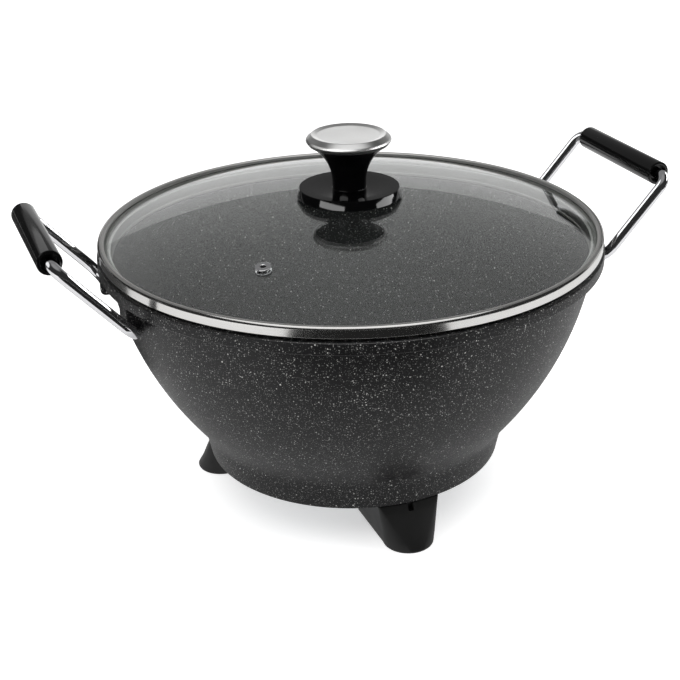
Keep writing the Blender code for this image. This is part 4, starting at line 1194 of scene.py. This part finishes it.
@dataclass
class Inlet:
    """Inlet for the plug-in thermostat, behind the base ring."""

    finishes: Finishes
    half_width: float = 0.029
    bottom_z: float = 0.0280
    top_z: float = 0.0499
    back_y: float = 0.084
    mouth_y: float = 0.126
    wall: float = 0.0025
    back_wall: float = 0.004
    edge: float = 0.0009
    outer_corner: float = 0.003
    inner_corner: float = 0.0016
    ear_run: float = 0.0045
    ear_back: float = 0.0052
    ear_half: float = 0.0048
    ear_z: tuple[float, float] = (0.0394, 0.0434)
    pin_x: float = 0.017
    pin_z: float = 0.0389
    pin_radius: float = 0.0025
    pin_back_y: float = 0.080
    pin_tip_y: float = 0.118
    bush_bore: float = 0.0028
    bush_radius: float = 0.005
    bush_flange: float = 0.0065
    bush_flange_depth: float = 0.0024
    tube_bore: float = 0.0032
    tube_radius: float = 0.004
    tube_back_y: float = 0.058
    tube_floor_y: float = 0.0588

    def frame_at(self, inset: float, radius: float, y: float) -> Array:
        """A rounded rectangle in the plane of one y.

        Args:
            inset: distance inside the housing's outer faces.
            radius: rounding of its corners.
            y: where the rectangle stands.

        Returns:
            The ring of points.
        """
        half, low, high = self.half_width - inset, self.bottom_z + inset, self.top_z - inset
        flat = rounded(
            [(-half, low, radius), (half, low, radius), (half, high, radius), (-half, high, radius)],
            closed=True,
        )
        return joined(flat[:, 0], y, flat[:, 1])

    def housing(self) -> Grid:
        """The housing: a rounded rectangle carried out to the mouth, over its edge and back in.

        Returns:
            The closed grid.
        """
        rings = [(0.0, self.outer_corner, self.back_y)]
        edge = [
            (self.edge * (1 - math.cos(t)), self.edge * (1 - math.sin(t)))
            for t in np.linspace(0.0, math.pi / 2, 5)
        ]
        rings += [(run, self.outer_corner, self.mouth_y - rise) for run, rise in edge]
        rings += [(self.wall - rise, self.inner_corner, self.mouth_y - run) for run, rise in edge]
        rings.append((self.wall, self.inner_corner, self.back_y + self.back_wall))
        return capped(np.stack([self.frame_at(*ring) for ring in rings]))

    def ear(self, side: int) -> Grid:
        """One fixing ear, a rounded plate beside the housing's back.

        Args:
            side: sign of its side along X.

        Returns:
            The closed grid.
        """
        x, y, half = side * (self.half_width + self.ear_run), self.back_y + self.ear_back, self.ear_half
        left, right = x - 0.005, x + 0.0045
        flat = rounded([
            (left, y - half, 0.001), (right, y - half, 0.002),
            (right, y + half, 0.002), (left, y + half, 0.001),
        ], closed=True)
        return stacked([(flat, z) for z in self.ear_z])

    def build(self) -> None:
        """Make the inlet's pieces."""
        housing = surface("inlet_moulding", self.housing(), self.ear(-1), self.ear(1))
        dress(housing, self.finishes.moulded, Body.WOK, "inlet_housing")
        pin = lathe([
            (0.0, self.pin_back_y), (self.pin_radius, self.pin_back_y, 0.0003),
            (self.pin_radius, self.pin_tip_y, 0.0016), (0.0, self.pin_tip_y),
        ], 48)
        seat, nose = self.back_y - 0.0003, self.back_y + self.back_wall + 0.004
        flange_y = seat - self.bush_flange_depth
        bush = lathe([
            (self.bush_bore, nose, 0.0003), (self.bush_radius, nose, 0.0008),
            (self.bush_radius, seat), (self.bush_flange, seat, 0.0003),
            (self.bush_flange, flange_y, 0.0006), (self.bush_bore, flange_y, 0.0003),
        ], 56, closed=True)
        for word, x in (("live", -self.pin_x), ("neutral", self.pin_x)):
            place = along_y(x, self.pin_z)
            contact = surface(f"{word}_contact", moved(pin, place))
            dress(contact, self.finishes.wire, Body.WOK, f"{word}_pin")
            ring = surface(f"{word}_bush", moved(bush, place))
            dress(ring, self.finishes.ceramic, Body.WOK, f"{word}_insulator")
        tube = lathe([
            (0.0, self.tube_floor_y), (self.tube_bore, self.tube_floor_y, 0.0006),
            (self.tube_bore, nose, 0.0002), (self.tube_radius, nose, 0.0003),
            (self.tube_radius, self.tube_back_y, 0.0008), (0.0, self.tube_back_y),
        ], 56)
        socket = surface("probe_tube", moved(tube, along_y(0.0, self.pin_z)))
        dress(socket, self.finishes.brass, Body.WOK, "probe_socket")
        repaint(self.finishes.brass, "earth_contact")


# Studio


@dataclass
class Studio:
    """Camera, floor, lamps, cards and world.

    Azimuths and elevations are in degrees and seen from the wok. A level or glow is how
    bright a thing is seen, where 1 is white.
    """

    eye: tuple[float, float, float] = (-0.3397, -0.8925, 0.5524)
    azimuth: float = -20.30
    elevation: float = 24.69
    roll: float = -1.22
    lens: float = 74.68
    sensor: float = 36.0
    far: float = 50.0
    floor_half: float = 15.0
    painted_shadow_radii: tuple[float, float] = (0.07, 0.125)
    painted_shadow_glow: float = 0.42
    floor_glow: float = 0.8
    mirror_glow: float = 0.28
    sky_level: float = 0.36
    patch_lift: float = 0.0005
    dim_level: float = 0.03
    lamp_aim: tuple[float, float, float] = (0.0, 0.0, 0.12)
    glint_aim: tuple[float, float, float] = (0.0, 0.0, 0.2)

    def around(self, azimuth: Array | float, elevation: Array | float, distance: Array | float) -> Array:
        """Points d (sin a cos e, -cos a cos e, sin e) round the wok.

        Args:
            azimuth: a, counted from the camera, anticlockwise from above.
            elevation: e.
            distance: d.

        Returns:
            The points, with x, y and z along the last axis.
        """
        a, e = np.radians(self.azimuth + azimuth), np.radians(elevation)
        run, rise = distance * np.cos(e), distance * np.sin(e)
        return joined(run * np.sin(a), -run * np.cos(a), rise)

    def dome(
        self, azimuths: tuple[float, float], elevations: tuple[float, float], distance: float
    ) -> Grid:
        """Part of a sphere round the wok, with its points at around(azimuth, elevation, radius).

        Args:
            azimuths: its first and last azimuth.
            elevations: its lowest and highest elevation.
            distance: radius of the sphere.

        Returns:
            The surface.
        """
        across, up = np.linspace(*azimuths, 33)[None, :], np.linspace(*elevations, 17)[:, None]
        return Grid(self.around(across, up, distance), wrap_columns=False)

    def patch(self, azimuths: tuple[float, float], radii: tuple[float, float]) -> Grid:
        """Part of a ring just above the floor, with its points at around(azimuth, 0, radius).

        Args:
            azimuths: its first and last azimuth.
            radii: its inner and outer radius.

        Returns:
            The surface.
        """
        across, out = np.linspace(*azimuths, 33)[None, :], np.linspace(*radii, 5)[:, None]
        return Grid(self.around(across, 0.0, out) + (0.0, 0.0, self.patch_lift), wrap_columns=False)

    def camera(self) -> None:
        """Set the camera: its back points to around(0, elevation), and it rolls about that."""
        back, right = Vector(self.around(0.0, self.elevation, 1.0)), Vector(self.around(90.0, 0.0, 1.0))
        up, roll = back.cross(right), math.radians(self.roll)
        side = right * math.cos(roll) + up * math.sin(roll)
        top = up * math.cos(roll) - right * math.sin(roll)
        data = bpy.data.cameras.new("camera")
        data.lens, data.sensor_width, data.clip_end = self.lens, self.sensor, self.far
        item = bpy.data.objects.new("camera", data)
        turn = Matrix((side, top, back)).transposed().to_4x4()
        item.matrix_world = Matrix.Translation(self.eye) @ turn
        bpy.context.scene.collection.objects.link(item)
        bpy.context.scene.camera = item

    def sheet(self, name: str, grid: Grid, material: bpy.types.Material) -> bpy.types.Object:
        """Put up a surface of the studio.

        Args:
            name: its name.
            grid: its points.
            material: its material.

        Returns:
            The new object.
        """
        mesh = bpy.data.meshes.new(name)
        mesh.from_pydata(grid.points.reshape(-1, 3), [], grid.quads())
        item = bpy.data.objects.new(name, mesh)
        bpy.context.scene.collection.objects.link(item)
        item.data.materials.append(material)
        return item

    def floor(self) -> None:
        """Lay the pale matt floor.

        The camera and the glass see it glow as well, to white beyond the wok and less
        under it: a painted shadow round the wok's foot, added to the lamps' real shadow.
        Mirrors see an even, lesser glow.
        """
        made, shader, spot = principled("pale_floor", "e8e8e8", Roughness=0.9, Specular_IOR_Level=0.0)
        made.cycles.emission_sampling = "NONE"
        path = add(made, "LightPath").outputs
        run = add(made, "VectorMath", {0: spot}, operation="LENGTH").outputs["Value"]
        near, far = self.painted_shadow_radii
        # Painted shadow: the glow is least close under the wok and grows to white a little beyond its
        # foot, whatever the lamps do.
        glow = add(made, "MapRange", {
            "Value": run, "From Min": near, "From Max": far,
            "To Min": self.painted_shadow_glow, "To Max": self.floor_glow,
        }, interpolation_type="SMOOTHSTEP")
        direct = {0: path["Is Camera Ray"], 1: path["Is Transmission Ray"]}
        seen = add(made, "Math", direct, operation="MAXIMUM")
        shown = add(made, "Math", {0: seen, 1: glow}, operation="MULTIPLY")
        mirror = {0: path["Is Glossy Ray"], 1: self.mirror_glow}
        mirrored = add(made, "Math", mirror, operation="MULTIPLY")
        lift = add(made, "Math", {0: shown, 1: mirrored}, operation="MAXIMUM")
        feed(shader, {"Emission Color": srgb("ffffff"), "Emission Strength": lift})
        ends = np.array([-self.floor_half, self.floor_half])
        self.sheet("floor", Grid(joined(ends[None, :], ends[:, None], 0.0), wrap_columns=False), made)

    def card(self, name: str, grid: Grid, shine: float, fade: tuple[float, float] = (-1.0, -0.9)) -> None:
        """Hang a card that only mirror images show.

        Args:
            name: name of the card.
            grid: its surface.
            shine: its level.
            fade: heights between which it turns from a dim room to that level, by
                default below the table.
        """
        made = bpy.data.materials.new(name)
        made.use_nodes = True
        made.node_tree.nodes.clear()
        split = add(made, "SeparateXYZ", {0: add(made, "TexCoord").outputs["Object"]})
        rise = add(made, "MapRange", {
            "Value": split.outputs[2], "From Min": fade[0], "From Max": fade[1],
            "To Min": self.dim_level, "To Max": shine,
        }, interpolation_type="SMOOTHSTEP")
        glow = add(made, "Emission", {"Strength": rise})
        add(made, "OutputMaterial", {0: glow})
        item = self.sheet(name, grid, made)
        item.visible_camera = item.visible_diffuse = False
        item.visible_shadow = item.visible_transmission = False

    def lamp(
        self, name: str, place: Sequence[float], size: tuple[float, float], watts: float,
        aim: Sequence[float] | None = None,
    ) -> bpy.types.Object:
        """Hang a softbox that lights the wok and shows in no mirror image.

        Args:
            name: name of the lamp.
            place: its middle.
            size: its width and height.
            watts: its power.
            aim: the point that it looks to, by default the wok's middle.

        Returns:
            The lamp's object.
        """
        data = bpy.data.lights.new(name, "AREA")
        data.shape, data.energy = "RECTANGLE", watts
        data.size, data.size_y = size
        item = bpy.data.objects.new(name, data)
        towards = Vector(aim or self.lamp_aim) - Vector(place)
        turn = towards.to_track_quat("-Z", "Y").to_matrix().to_4x4()
        item.matrix_world = Matrix.Translation(Vector(place)) @ turn
        item.visible_glossy = item.visible_transmission = False
        bpy.context.scene.collection.objects.link(item)
        return item

    def glint(
        self, name: str, pieces: Sequence[str], place: Sequence[float], size: tuple[float, float],
        shine: float, aim: Sequence[float] | None = None,
    ) -> None:
        """Hang a lamp that only some pieces mirror, and that lights nothing else.

        Args:
            name: name of the lamp.
            pieces: the pieces that mirror it.
            place: its middle.
            size: its width and height.
            shine: the level of its mirror image, which takes 4 * shine * area watts.
            aim: the point that it looks to, by default a little over the wok's rim.
        """
        item = self.lamp(name, place, size, 4 * shine * size[0] * size[1], aim or self.glint_aim)
        item.visible_glossy, item.visible_diffuse = True, False
        group = bpy.data.collections.new(name)
        for piece in pieces:
            group.objects.link(bpy.data.objects[piece])
        item.light_linking.receiver_collection = group

    def world(self) -> None:
        """Light the scene evenly, with white behind it for camera, mirror and glass rays."""
        made = bpy.data.worlds.new("studio")
        made.use_nodes = True
        path = add(made, "LightPath").outputs
        first = {0: path["Is Camera Ray"], 1: path["Is Glossy Ray"]}
        seen = add(made, "Math", first, operation="MAXIMUM")
        seen = add(made, "Math", {0: seen, 1: path["Is Transmission Ray"]}, operation="MAXIMUM")
        sky = add(made, "MapRange", {"Value": seen, "To Min": self.sky_level, "To Max": 1.0})
        feed(made.node_tree.nodes["Background"], {"Color": srgb("ffffff"), "Strength": sky})
        bpy.context.scene.world = made

    def lamps(self) -> None:
        """Hang the softboxes."""
        self.lamp("left_softbox", self.around(-47, 24, 1.8), (1.5, 1.2), 12.0)
        self.lamp("right_softbox", self.around(74, 24, 1.8), (1.1, 1.2), 9.5)
        self.lamp("top_softbox", (0.1, 0.3, 1.9), (1.3, 1.0), 11.0)

    def cards(self) -> None:
        """Hang the cards: a dim room, two walls behind the wok and a dark table."""
        self.card("room", self.dome((0, 360), (0, 90), 3.2), 0.3, (2.6, 3.1))
        self.card("low_wall", self.dome((120, 205), (0, 19), 3.0), 0.6)
        self.card("high_wall", self.dome((125, 240), (19, 64), 3.0), 0.22)
        self.card("dark_table_front", self.patch((-24, 35), (0.28, 2.7)), 0.02)
        self.card("dark_table_right", self.patch((35, 95), (0.98, 2.7)), 0.03)
        self.card("dark_table_left", self.patch((212, 258), (0.25, 2.7)), 0.06)

    def glints(self) -> None:
        """Hang the lamps that give each shiny piece its lights."""
        knob, steel = ("knob_moulding", "knob_face"), ("knob_face", "vent_ring")
        wires, grips = ("left_bent_wire", "right_bent_wire"), ("left_sleeve", "right_sleeve")
        left_wire, right_wire = wires[:1], wires[1:]
        at = self.around
        for name, pieces, place, size, shine, *aim in (
            ("knob_left", knob, at(-40, 16, 2.8), (2.9, 0.45), 6.0),
            ("knob_right", knob, at(86, 10, 2.8), (2.8, 0.6), 6.0),
            ("steel_back", steel, at(180, 19, 2.9), (4.0, 2.1), 0.7),
            ("steel_above", steel, at(0, 76, 2.6), (3.0, 1.4), 0.75),
            ("steel_front", steel, at(-18, 42, 2.6), (3.2, 1.3), 1.5),
            ("steel_left", steel, at(270, 22, 2.9), (4.0, 1.6), 0.55),
            ("steel_right", steel, at(90, 24, 2.9), (4.0, 1.2), 0.5),
            ("band_above", ("rolled_band",), at(0, 80, 2.6), (3.5, 3.0), 0.7),
            ("right_wire_left", right_wire, at(252, 42, 2.9), (5.0, 3.2), 1.5),
            ("left_wire_left", left_wire, at(252, 31, 2.9), (5.0, 2.0), 0.8),
            ("wire_right", wires, at(118, 22, 2.8), (2.2, 0.5), 4.0),
            ("grip_back", grips[:1], (-0.475, 0.85, 0.885), (0.85, 0.63), 0.5, (-0.475, 0, 0.885)),
            ("grip_rims", grips, at(-35, 35, 2.2), (1.9, 0.9), 1.0),
            ("rim_top", ("cast_pan",), at(0, 64, 2.6), (3.0, 0.7), 9.0),
        ):
            self.glint(name, pieces, place, size, shine, *aim)

    def build(self) -> None:
        """Set the whole studio."""
        self.camera()
        self.floor()
        self.world()
        self.lamps()
        self.cards()
        self.glints()
        bpy.context.scene.view_settings.view_transform = "Standard"
        LOG.info("studio set")


def main() -> None:
    """Build every sub-assembly in order, then the studio."""
    logging.basicConfig(level=logging.INFO, format="%(message)s")
    finishes = Finishes()
    Pan(finishes).build()
    Feet(finishes).build()
    Inlet(finishes).build()
    for side in Side:
        Handle(finishes, side).build()
    Lid(finishes).build()
    Studio().build()
    bpy.context.view_layer.update()


if __name__ == "__main__":
    main()
